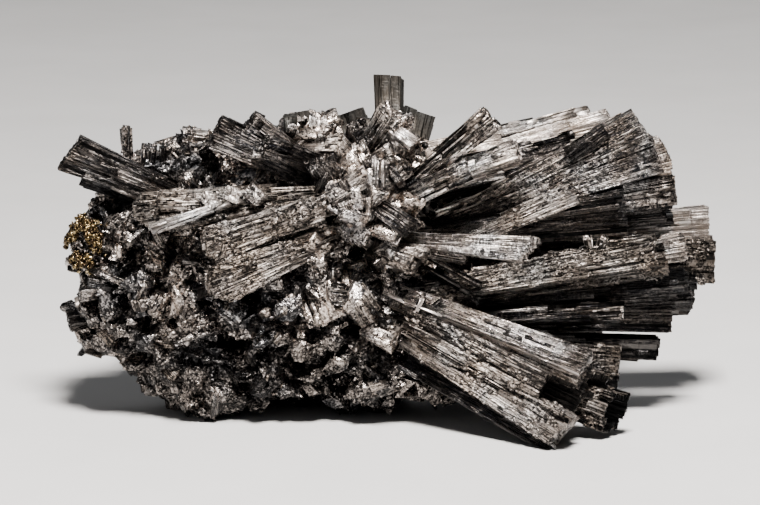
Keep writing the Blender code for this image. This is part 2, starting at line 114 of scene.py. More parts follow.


# %% [markdown]
# ## From arrays to a mesh
# Joining thousands of objects one by one is slow, so the copies are laid out as arrays, and one mesh is made of them
# all. Every corner also gets UV coordinates in millimetres, U across the lath and V along it, so that the striations
# of the finish run along each lath whichever way it points. Two point attributes go with them: tone is one random
# number for each lath, so that no two reflect alike, and the other is an edge mark for painted light and shade: above
# 0 it paints shade into the cracks between laths, and below 0 it paints a highlight along a few edges.


# %% Build a mesh out of many copies
def many(template, points, uv_scale, uv_shift, tone, groove, finish):
    """Copies of the template as a dict of arrays. points is (copies, template points, 3) in mm."""
    copies, corners = len(points), len(template.points)
    u = template.around * uv_scale[:, :1] + uv_shift[:, :1]
    v = template.points[template.loops, 2] * uv_scale[:, 1:] + uv_shift[:, 1:]
    return {
        "points": points.reshape(-1, 3),
        "loops": (template.loops + np.arange(copies)[:, None] * corners).ravel(),
        "sizes": np.tile(template.sizes, copies),
        "uv": np.stack((u, v), axis=-1).reshape(-1, 2),
        "tone": np.repeat(tone, corners),
        "groove": (template.groove * groove[:, None]).ravel(),
        "finish": np.full(copies * len(template.sizes), FINISHES.index(finish)),
    }


def make_object(name, parts, lowest=0.02):
    """One object out of such dicts, in metres from the frame's origin, with no point lower than that many mm."""
    starts = np.cumsum([0] + [len(part["points"]) for part in parts])
    loops = np.concatenate([part["loops"] + start for part, start in zip(parts, starts)])
    every = {key: np.concatenate([part[key] for part in parts]) for key in parts[0]}
    points, sizes = every["points"], every["sizes"]
    points[:, 2] = np.maximum(points[:, 2], lowest)
    mesh = bpy.data.meshes.new(name)
    mesh.vertices.add(len(points))
    mesh.loops.add(len(loops))
    mesh.polygons.add(len(sizes))
    mesh.vertices.foreach_set("co", ((points - ORIGIN) * MM).ravel())
    mesh.loops.foreach_set("vertex_index", loops)
    mesh.polygons.foreach_set("loop_start", np.concatenate(((0,), np.cumsum(sizes)[:-1])))
    used, slots = np.unique(every["finish"], return_inverse=True)
    for number in used:
        mesh.materials.append(FINISHES[number])
    mesh.polygons.foreach_set("material_index", slots.astype(np.int32))
    mesh.update(calc_edges=True)
    mesh.uv_layers.new(name="UVMap").data.foreach_set("uv", every["uv"].ravel())
    for key in ("tone", "groove"):
        mesh.attributes.new(key, "FLOAT", "POINT").data.foreach_set("value", every[key])
    mesh.validate()
    made = bpy.data.objects.new(name, mesh)
    bpy.context.scene.collection.objects.link(made)
    print(f"{name}: {int((sizes - 2).sum())} triangles")
    return made


# %% [markdown]
# ## The finishes
# Enargite is a dark grey metal to the eye: it mirrors the light softly along its striations, turns warm grey where it
# catches a lamp, and is nearly black in its cracks. A painted colour can't do that, so the finish is metallic. Noise
# that is stretched along each lath makes its streaks and hair-thin cracks, stretched cells make the flakes that glint
# one by one, and fine cells make specks. Facets and bumps tilt the surface between them. Light and shade are painted
# in too: shade into the grooves between laths, highlights on a few flakes and edges, and lighter or darker copies of
# the finish on blades that stand in light or in shade. The matrix wears the same mineral in fine grains, so its
# finish breaks up into small facets, and it is painted paler higher up and darker towards the bottom. Pyrite is a
# brassy metal with brown tarnish.


# %% Helpers for the finishes
def set_stops(ramp, stops):
    """Gives a colour ramp its stops: (position, (r, g, b)) or (position, grey)."""
    while len(ramp.elements) < len(stops):
        ramp.elements.new(0.5)
    for element, (position, colour) in zip(ramp.elements, stops):
        element.position = position
        element.color = (*colour, 1.0) if isinstance(colour, tuple) else (colour, colour, colour, 1.0)


class Finish:
    """A material with short calls that add nodes and join them. Each gives an output of its last node."""

    def __init__(self, name):
        self.material = bpy.data.materials.new(name)
        self.material.use_nodes = True
        self.tree = self.material.node_tree
        self.place = self.stretched("Object", 1.0, 1.0)

    def put(self, socket, value):
        """Joins an output to the socket, or writes a number, vector or colour into it."""
        if isinstance(value, bpy.types.NodeSocket):
            self.tree.links.new(value, socket)
        else:
            socket.default_value = (*value, 1.0) if socket.type == "RGBA" else value

    def add(self, kind, inputs, output=0, **settings):
        node = self.tree.nodes.new("ShaderNode" + kind)
        for key, value in settings.items():
            setattr(node, key, value)
        for key, value in inputs.items():
            self.put(node.inputs[key], value)
        return node.outputs[output]

    def stretched(self, source, x, y):
        """Coordinates multiplied by a scale for each of their first two axes."""
        return self.add("Mapping", {"Vector": self.add("TexCoord", {}, source), "Scale": (x, y, 1.0)})

    def noise(self, vector, scale, detail=3.0, roughness=0.6, distortion=0.0):
        inputs = {"Vector": vector, "Scale": scale, "Detail": detail, "Roughness": roughness}
        return self.add("TexNoise", inputs | {"Distortion": distortion})

    def streaks(self, x, y, detail, roughness=0.7, distortion=0.0):
        """Noise over a lath in its own millimetres, drawn out along the axis with the smaller scale."""
        return self.noise(self.stretched("UV", x, y), 1.0, detail, roughness, distortion)

    def ramp(self, value, *stops):
        colour = self.add("ValToRGB", {"Fac": value})
        set_stops(colour.node.color_ramp, stops)
        return colour

    def mix(self, factor, a, b, blend="MIX"):
        return self.add("Mix", {0: factor, 6: a, 7: b}, 2, data_type="RGBA", blend_type=blend)

    def times(self, a, b):
        return self.mix(1.0, a, b, "MULTIPLY")

    def math(self, operation, a, b=0.0):
        return self.add("Math", {0: a, 1: b}, operation=operation)

    def vector(self, operation, *inputs, **named):
        return self.add("VectorMath", dict(enumerate(inputs)) | named, operation=operation)

    def blend(self, *shares):
        """The sum of values, each times its share: (value, share), ..."""
        total = self.math("MULTIPLY", *shares[0])
        for value, share in shares[1:]:
            total = self.math("ADD", total, self.math("MULTIPLY", value, share))
        return total

    def attribute(self, name):
        return self.add("Attribute", {}, "Fac", attribute_name=name)

    def voronoi(self, vector, scale):
        """A random colour for each cell."""
        return self.add("TexVoronoi", {"Vector": vector, "Scale": scale}, "Color")

    def cells(self, vector, scale):
        """Two random numbers for each cell."""
        return self.add("SeparateColor", {"Color": self.voronoi(vector, scale)}).node.outputs[:2]

    def facets(self, vector, scale, tilt, normal=None):
        """The normal, tipped at random in each cell, as if every cell were a small flat face."""
        tip = self.vector("SUBTRACT", self.voronoi(vector, scale), (0.5, 0.5, 0.5))
        normal = normal or self.add("NewGeometry", {}, "Normal")
        return self.vector("NORMALIZE", self.vector("ADD", normal, self.vector("SCALE", tip, Scale=tilt)))

    def span(self, value, low=0.0, high=1.0, start=0.0, stop=1.0):
        """The value from start to stop, spread from low to high."""
        return self.add("MapRange", {0: value, 1: start, 2: stop, 3: low, 4: high})

    def shade(self, dark, light, start, level, *shares):
        """From dark, below start, to light along the sum of the shares. level makes it paler throughout."""
        middle, spread = sum(share for _, share in shares) / 2 - level, 0.34
        value = self.span(self.blend(*shares), start=middle - spread, stop=middle + spread)
        half = tuple(0.75 * a + 0.25 * b for a, b in zip(dark, light))
        return self.ramp(value, (start, dark), (0.55, half), (0.95, light))

    def bumps(self, normal, *layers):
        """The normal, tilted by layers of relief: (height, strength, depth in mm)."""
        for height, strength, depth in layers:
            inputs = {"Height": height, "Strength": strength, "Distance": depth * MM}
            normal = self.add("Bump", inputs | ({"Normal": normal} if normal else {}))
        return normal

    def wire(self, **sockets):
        """Sets sockets of the Principled shader: Base_Color=..., Roughness=..."""
        for key, value in sockets.items():
            self.put(self.tree.nodes["Principled BSDF"].inputs[key.replace("_", " ")], value)
        return self.material


# %% The striated crystal finish
SPECKS = 4600.0  # specks on each metre
PAINTED_SHADE_BLACK = (0.004, 0.004, 0.004)


def crystal_finish(name, dark, light, rough=(0.2, 0.44), relief=0.9, grain=0.3, flaky=0.2, tilt=0.3, painted_shade=0.94):
    """Metal between two colours with striations, cracks and flakes along V, painted shade and painted highlights."""
    finish = Finish(name)
    hairs = finish.streaks(3.6, 0.06, 3.0, 0.9)
    scratches = finish.streaks(9.0, 0.7, 2.0)
    bands = finish.streaks(1.1, 0.05, 2.0, 0.5)
    long_cells = finish.stretched("UV", 5.0, 0.8)
    flake, glint = finish.cells(long_cells, 1.0)
    pits = finish.noise(finish.place, 3400.0, 3.0, 0.7)
    speck, _ = finish.cells(finish.place, SPECKS)
    cloud = finish.noise(finish.place, 190.0)
    where = finish.ramp(finish.noise(finish.place, 380.0, 2.0, 0.5), (0.5, 0.0), (0.6, 1.0))
    rungs = finish.math("MULTIPLY", finish.math("SUBTRACT", finish.streaks(0.5, 3.4, 2.0), 0.5), where)

    colour = finish.shade(
        dark, light, 0.18, 0.8, (hairs, 1.5), (scratches, 0.8), (bands, 0.4), (flake, flaky),
        (finish.attribute("tone"), 0.4), (cloud, 0.5), (pits, grain), (speck, 0.34 + 0.3 * grain), (rungs, 1.6),
    )
    tarnish = finish.ramp(cloud, (0.36, (1.0, 0.92, 0.84)), (0.5, (1.0, 0.97, 0.95)), (0.66, (0.88, 0.94, 1.0)))
    # painted highlight: the flakes with the highest glint number are painted in the light colour
    colour = finish.mix(finish.ramp(glint, (0.92, 0.0), (0.94, 0.7)), finish.times(colour, tarnish), light)
    crack = finish.math("ABSOLUTE", finish.math("SUBTRACT", finish.streaks(2.0, 0.05, 1.0, 0.5, 0.2), 0.5))
    crack = finish.ramp(crack, (0.004, 0.08), (0.018, 1.0))
    edge = finish.attribute("groove")
    # painted highlight: where the edge mark is below 0, the edge is painted in the light colour
    painted_glint = finish.ramp(finish.math("MULTIPLY", edge, -1.0), (0.0, 0.0), (1.0, 1.0))
    colour = finish.mix(painted_glint, finish.times(colour, crack), light)
    # painted shade: where the edge mark is above 0, the groove between laths is darkened towards black
    colour = finish.mix(finish.math("MULTIPLY", edge, painted_shade), colour, PAINTED_SHADE_BLACK)

    roughness = finish.span(finish.blend((pits, 0.5), (glint, 0.5)), *rough)
    normal = finish.facets(finish.place, SPECKS, 0.5 * tilt, finish.facets(long_cells, 1.0, tilt))
    layers = ((hairs, relief, 0.16), (scratches, relief * 0.6, 0.08), (crack, 0.6, 0.1), (rungs, 0.8, 0.12))
    normal = finish.bumps(normal, *layers, (pits, grain, 0.1))
    return finish.wire(Base_Color=colour, Metallic=1.0, Roughness=roughness, Normal=normal)


# painted light and shade: the bright and pale copies paint lit blades, the dim, dark and dull copies shaded ones
CRYSTAL = crystal_finish("enargite_crystal_finish", (0.012, 0.012, 0.013), (0.55, 0.495, 0.455))
LIT_CRYSTAL = crystal_finish("painted_light_crystal_finish", (0.09, 0.082, 0.077), (1.0, 0.91, 0.84), (0.24, 0.48))
FULLY_LIT_CRYSTAL = crystal_finish("painted_full_light_crystal_finish", (0.3, 0.27, 0.25), (1.0, 0.93, 0.87), (0.3, 0.5))
DIM = crystal_finish("dim_and_shade_crystal_finish", (0.01, 0.01, 0.011), (0.14, 0.125, 0.115))
DARK = crystal_finish("dark_and_shade_crystal_finish", (0.003, 0.0032, 0.004), (0.1, 0.092, 0.087))
# the last number of ROUGH and ROUGHER is how hard shade is painted into the grooves
ROUGH = (0.016, 0.015, 0.0145), (0.48, 0.43, 0.39), (0.26, 0.6), 0.6, 0.5, 0.4, 0.4, 0.6
ETCHED = crystal_finish("etched_crystal_finish", *ROUGH)
ROUGHER = (0.01, 0.0095, 0.009), (0.3, 0.265, 0.235), (0.24, 0.6), 0.4, 0.9, 0.6, 0.45, 0.7
CRUSTY = crystal_finish("crusty_crystal_finish", *ROUGHER)
FLAT = (0.028, 0.026, 0.023), (0.055, 0.051, 0.046), (0.5, 0.6), 0.08, 0.4, 0.1, 0.05
DULL = crystal_finish("dull_crystal_finish", *FLAT)


# %% The granular finish of the matrix
def matrix_finish(name, dark, light, level, tilt, relief):
    """Glittering grains with painted shade, darker towards the bottom and black between them. relief is in mm."""
    finish = Finish(name)
    tint, glint = finish.cells(finish.place, SPECKS)
    blotch = finish.noise(finish.place, 900.0, 4.0, 0.7)
    patch = finish.noise(finish.place, 170.0, 3.0, 0.5)
    grain = finish.noise(finish.place, 5200.0, 3.0, 0.75)
    shares = ((tint, 0.6), (finish.attribute("tone"), 0.3), (grain, 0.6), (blotch, 0.6), (patch, 0.8))
    stain = finish.ramp(patch, (0.36, (0.88, 0.93, 1.0)), (0.5, (1.0, 0.97, 0.95)), (0.64, (1.0, 0.95, 0.91)))
    # painted light from above: the matrix is painted paler higher up and darker towards the bottom
    height = finish.add("SeparateXYZ", {"Vector": finish.place}, 2)
    painted_top_light = finish.span(height, 0.5, 1.0, 0.008, 0.016)
    colour = finish.times(finish.times(finish.shade(dark, light, 0.15, level, *shares), stain), painted_top_light)
    # painted shade: the grooves at the edges of chips are darkened towards black
    colour = finish.mix(finish.math("MULTIPLY", finish.attribute("groove"), 0.35), colour, PAINTED_SHADE_BLACK)
    normal = finish.bumps(finish.facets(finish.place, 4000.0, tilt), (blotch, 0.5, relief), (grain, 0.5, 0.1))
    return finish.wire(Base_Color=colour, Metallic=1.0, Roughness=finish.span(glint, 0.16, 0.5), Normal=normal)


MATRIX = matrix_finish("enargite_matrix_finish", (0.018, 0.0172, 0.017), (0.82, 0.75, 0.7), 0.0, 0.45, 0.3)
CRUST = matrix_finish("bright_crust_finish", (0.06, 0.054, 0.05), (0.95, 0.85, 0.77), 0.1, 0.36, 0.1)

# %% The pyrite finish: brassy metal that is tarnished brown in places
brass = Finish("pyrite_finish")
cloud = brass.noise(brass.place, 1500.0)
shade = brass.blend((cloud, 0.6), (brass.attribute("tone"), 0.4))
shade = brass.ramp(shade, (0.34, (0.025, 0.016, 0.009)), (0.58, (0.15, 0.105, 0.048)), (0.84, (0.8, 0.64, 0.37)))
normal = brass.bumps(None, (brass.noise(brass.place, 5200.0, 2.0), 0.35, 0.1))
PYRITE = brass.wire(Base_Color=shade, Metallic=1.0, Roughness=brass.span(cloud, 0.16, 0.36), Normal=normal)
FINISHES = [CRYSTAL, LIT_CRYSTAL, FULLY_LIT_CRYSTAL, DIM, DARK, ETCHED, CRUSTY, DULL, MATRIX, CRUST, PYRITE]
print("finishes:", [finish.name for finish in FINISHES])

# %% [markdown]
# ## A blade of laths
# A blade runs from its root to its tip and widens on the way, so it is drawn by two points, a width and a thickness
# at each end, and the way that its broad face looks. Inside it a place is given by u across the broad face, v
# through it and s along it, which turns a straight template into a fanning one for free. Laths that touch break
# together, so they are grouped into packets: a packet shares its length, its height over the face and its cracks.
# Packets lie in layers, and where an outer one has broken off, the next one shows. That is what gives the real
# blades their shingled look. A plain bar in the middle keeps light from passing through.


# %% Blades and their own coordinates
FRONT, UP, DOWN, BACK = (0.0, -1.0, 0.0), (0.0, -0.75, 0.65), (0.0, -0.9, -0.45), (0.0, 1.0, 0.2)


@dataclass
class Blade:
    """A blade from root to tip. The broken end may slant, arc and be hollow. rake is what its front has lost."""

    root: tuple
    tip: tuple
    wide: tuple
    thick: tuple
    face: tuple = FRONT
    look: str = "plain"
    ragged: float = 0.6
    slant: float = 0.0
    arc: float = 0.0
    hollow: float = 0.0
    rake: float = 0.0

    def __post_init__(self):
        self.root, self.tip = np.array(self.root, float), np.array(self.tip, float)
        self.length = np.linalg.norm(self.tip - self.root)
        self.along = (self.tip - self.root) / self.length
        out = np.array(self.face) - self.along * np.dot(self.face, self.along)
        self.out = out / np.linalg.norm(out)
        self.across = np.cross(self.out, self.along)

    def at(self, u, v, s, lift=0.0, side=0.0):
        """Points in mm for arrays of blade coordinates. lift and side are in mm, out of the face and across it."""
        wide = self.wide[0] + (self.wide[1] - self.wide[0]) * s
        thick = self.thick[0] + (self.thick[1] - self.thick[0]) * s
        points = self.root + self.along * (self.length * s)[..., None]
        points += self.across * (u * wide / 2 + side)[..., None]
        return points + self.out * (v * thick / 2 + lift)[..., None]

    def fall(self, u, v):
        """How far in mm the broken end stands ahead of the tip at this place."""
        return self.slant * u - self.arc * u * u - self.rake * (v + 1) / 2


# %% Lay laths inside a blade
QUARTERS = np.array(((1, 0), (0, 1), (-1, 0), (0, -1)))  # cosine and sine of the four quarter turns
# the edge mark of a cell paints shade into its grooves above 0, and a highlight along its edges below 0
Cell = namedtuple("Cell", "u v hu hv start end turn tone lift rise roll groove shift", defaults=(0, 0, 0, 1, 0))


def lay_laths(b, template, cells, finish, rng):
    """Copies of the template in cells of the blade. hu and hv are half sizes, and turn counts quarter turns.

    lift moves a lath out of its own face, rise lets its end stand out, and roll tips it sideways, all in mm."""
    c = Cell(*np.array(cells, dtype=float).T[:, :, None])
    own_x, own_y, z = template.points.T[:, None]
    cos, sin = QUARTERS.T[:, c.turn[:, 0].astype(int), None]
    x, y = own_x * cos - own_y * sin, own_x * sin + own_y * cos
    jitter = rng.normal(0.0, 1.0, (len(cells), 4, 1))
    bend = 0.05 * c.hu * jitter[:, 1] * np.sin(math.pi * z)
    u = c.u + c.hu * x * (1 + 0.03 * jitter[:, 0]) + bend
    v = c.v + c.hv * y
    oblique = x * jitter[:, 2] * c.hu * b.wide[1] + y * jitter[:, 3] * c.hv * b.thick[1]
    oblique = np.clip(oblique * 0.2, -0.08, 0.08) / b.length
    s = c.start + (c.end - c.start) * z + oblique * (z > 0.99)
    outward = c.lift + c.rise * z + c.roll * own_x
    points = b.at(u, v, s, outward * cos, -outward * sin)
    half = np.where(cos != 0, c.hu * b.wide[1], c.hv * b.thick[1]) / 2
    middle = (c.u * cos * b.wide[1] + c.v * sin * b.thick[1]) / 2
    scale = np.hstack((np.maximum(half, 0.08), b.length * (c.end - c.start)))
    shift = np.hstack((c.shift + middle, c.shift * 3 + b.length * c.start))
    return many(template, points, scale, shift, c.tone[:, 0], c.groove[:, 0], finish)


def stretches(span, low, high, rng):
    """Cuts a span of that many mm into random stretches, as edges from -1 to 1."""
    edges = [0.0]
    while edges[-1] < span:
        edges.append(edges[-1] + rng.uniform(low, high))
    return np.array(edges) / edges[-1] * 2 - 1


# %% [markdown]
# ## How a blade breaks
# Six numbers say how a kind of blade has grown and broken: the width of its ribs, the width of its packets, how far
# packets and single ribs stand out, how often a packet is broken off short, and how often it is cracked across. The
# silky blades have narrow ribs and lie flat, the torn ones have steps like torn cardboard, and the etched ones are
# eaten into grains. Rocks and slabs are blocks with a few wide ribs.


# %% Packets and ribs
Look = namedtuple("Look", "finish grains splinters pitch packet relief fine gone cracks layers")
# torn, smooth and pale take painted light copies of the finish; dim, fluted and dull take painted shade copies
LOOKS = {  # grains and splinters are counted on each square millimetre
    "plain": Look(CRYSTAL, 0, 0.12, 0.3, (1.0, 2.6), 0.09, 0.02, 0.12, 0.25, 2),
    "silky": Look(CRYSTAL, 0, 0.12, 0.26, (0.9, 2.8), 0.07, 0.015, 0.08, 0.25, 2),
    "torn": Look(LIT_CRYSTAL, 0, 0.1, 0.4, (1.0, 2.8), 0.24, 0.03, 0.5, 0.9, 3),
    "split": Look(CRYSTAL, 0, 0.15, 0.3, (0.6, 1.6), 0.16, 0.02, 0.1, 0.25, 2),
    "velvet": Look(ETCHED, 12, 0.1, 0.26, (1.4, 3.2), 0.07, 0.02, 0.03, 0.12, 2),
    "dim": Look(DIM, 0, 0.12, 0.3, (0.8, 2.2), 0.12, 0.02, 0.15, 0.3, 2),
    "pale": Look(FULLY_LIT_CRYSTAL, 0, 0.1, 0.34, (0.9, 2.4), 0.16, 0.025, 0.3, 0.7, 2),
    "crust": Look(CRUST, 1, 0, 0.7, (1.4, 3.2), 0.12, 0.04, 0.1, 0.3, 1),
    "block": Look(MATRIX, 2, 0, 1.2, (1.6, 3.2), 0.08, 0.04, 0.1, 0.3, 1),
    "rock": Look(CRUST, 3, 0, 3.0, (3.0, 5.0), 0.05, 0.02, 0, 0, 1),
    "slab": Look(ETCHED, 8, 0.05, 1.6, (2.0, 4.0), 0.06, 0.03, 0, 0.2, 1),
    "smooth": Look(LIT_CRYSTAL, 0, 0.03, 0.28, (1.4, 3.4), 0.04, 0.012, 0.04, 0.1, 2),
    "etched": Look(ETCHED, 4, 0.05, 0.4, (1.4, 3.2), 0.07, 0.035, 0.05, 0.2, 2),
    "crusty": Look(CRUSTY, 12, 0.05, 0.4, (1.0, 2.6), 0.2, 0.06, 0.2, 0.6, 2),
    "fluted": Look(DARK, 0, 0.15, 0.32, (0.7, 1.8), 0.16, 0.03, 0.2, 0.3, 2),
    "dull": Look(DULL, 0, 0, 2.2, (2.4, 4.0), 0.05, 0.04, 0, 0, 1),
}
LAYER = 0.5  # the thickness of one layer of laths, in mm
EDGES = (1.0, 1.0, 0.7, 0.5, 0.3, 0.1, -0.8)  # painted shade on the edges of a lath; a painted highlight if below 0


def packet_lift(look, layer, rng):
    """How far one packet stands out of its layer: mostly little, sometimes sunk or raised."""
    kinds = (rng.normal(0, 0.4), rng.uniform(-2.0, -0.8), rng.uniform(0.6, 1.5))
    return kinds[rng.choice(3, p=(0.6, 0.2, 0.2))] * look.relief * (0.4 if layer else 1.0)


def face_cells(b, turn, layer, rng):
    """One layer of laths under a long face of the blade: turns 0 and 2 are the broad faces."""
    look, order = LOOKS[b.look], 1 if turn % 2 == 0 else -1
    span, through = (b.wide[1], b.thick[1])[::order]
    depth = min(LAYER * 1.4, through * 0.35)
    level = (1 if turn in (0, 3) else -1) * (1 - (2 * LAYER * layer + depth) / through)
    gap = 0.09 / span
    cells = []
    edges = stretches(span, *look.packet, rng)
    for first, last in zip(edges, edges[1:]):
        centre = (first + last) / 2
        lift = packet_lift(look, layer, rng)
        tilt, cut = rng.normal(0, 0.05), rng.normal(0, 0.18)
        rise = rng.normal(0.0, 0.2) * look.relief
        gone = rng.uniform() < look.gone / (1 + layer) and not b.hollow
        short = rng.uniform(0.12, 0.7) if gone else 0
        broken = rng.uniform(0, 1) ** 2 * b.ragged + 0.1 * layer
        cracks = np.sort(rng.uniform(0.15, 0.97, rng.poisson(look.cracks * b.length / 10)))
        # painted shade: the inner layers lie deeper, so their laths get a darker tone
        tone = rng.uniform(0.1, 0.95) * (0.6 if layer else 1.0)
        shift = rng.uniform(0, 50)
        pitch = look.pitch * (1.0 + 0.6 * layer)
        fine = stretches((last - first) * span / 2, pitch * 0.5, pitch * 1.5, rng)
        fine = first + gap + (fine + 1) / 2 * (last - first - 2 * gap)
        for low, high in zip(fine, fine[1:]):
            middle, half = (low + high) / 2, (high - low) / 2
            across = (middle - centre) * span / 2
            place, size = (middle, level)[::order], (half, depth / through)[::order]
            fall = b.fall(*place) - broken - abs(cut * across) - rng.uniform(0, 0.08)
            end = (1 + fall / b.length) * (1 - short)
            own = lift + tilt * across + rng.normal(0, 1.0) * look.fine
            roll = rng.normal(0, 0.26) * half * span / 2
            stops = [-0.01, *[c for c in cracks if c < end - 0.03], end]
            for start, stop in zip(stops, stops[1:]):
                crack = 0.05 / b.length * (stop < end)
                # painted shade: a hollow blade is darkened hard in every groove, so that its inside looks black
                groove = 1.6 if b.hollow else EDGES[rng.integers(len(EDGES))]
                own_tone = tone + rng.uniform(-0.12, 0.12)
                cells.append(Cell(*place, *size, start, stop - crack, turn, own_tone, own, rise, roll, groove, shift))
                own -= rng.uniform(-0.1, 0.35) * look.relief
    return cells


def end_cells(b, rng):
    """The short laths that fill the middle of the broken end."""
    pitch = LOOKS[b.look].pitch
    cells = []
    rows = stretches(b.thick[1], 0.4, 1.0, rng)
    for low, high in zip(rows, rows[1:]):
        columns = stretches(b.wide[1], pitch, pitch * 3.0, rng)
        broken = tone = 0.0
        for first, last in zip(columns, columns[1:]):
            if rng.uniform() < 0.4 or first == -1:
                broken = rng.uniform(0, 1) ** 1.5 * b.ragged + rng.uniform(0, 0.15)
                tone = rng.uniform(0, 1)
            u, v = (first + last) * 0.47, (low + high) * 0.47
            end = 1 + (b.fall(u, v) - broken) / b.length
            size = ((last - first) / 2, (high - low) / 2)
            # painted shade: the laths of the broken end are darkened a little in their grooves
            cells.append(Cell(u, v, *size, 0.6, end, rng.integers(4), tone, groove=0.3, shift=rng.uniform(0, 50)))
    return cells


def bundle(b, rng):
    """All the laths of one blade, and the bar in its middle, as arrays."""
    look = LOOKS[b.look]
    layers = range(1 if b.hollow else look.layers)
    cells = [cell for turn in range(4) for layer in layers for cell in face_cells(b, turn, layer, rng)]
    if not b.hollow:
        cells += end_cells(b, rng)
    stop = 1 - (b.hollow + b.ragged * 0.6 + 0.5 + b.arc + b.rake) / b.length
    filling = lay_laths(b, BAR, [Cell(0, 0, 0.6, 0.6, 0.0, stop, 0, 0.2)], DARK, rng)
    return [lay_laths(b, RIB, cells, look.finish, rng), filling]
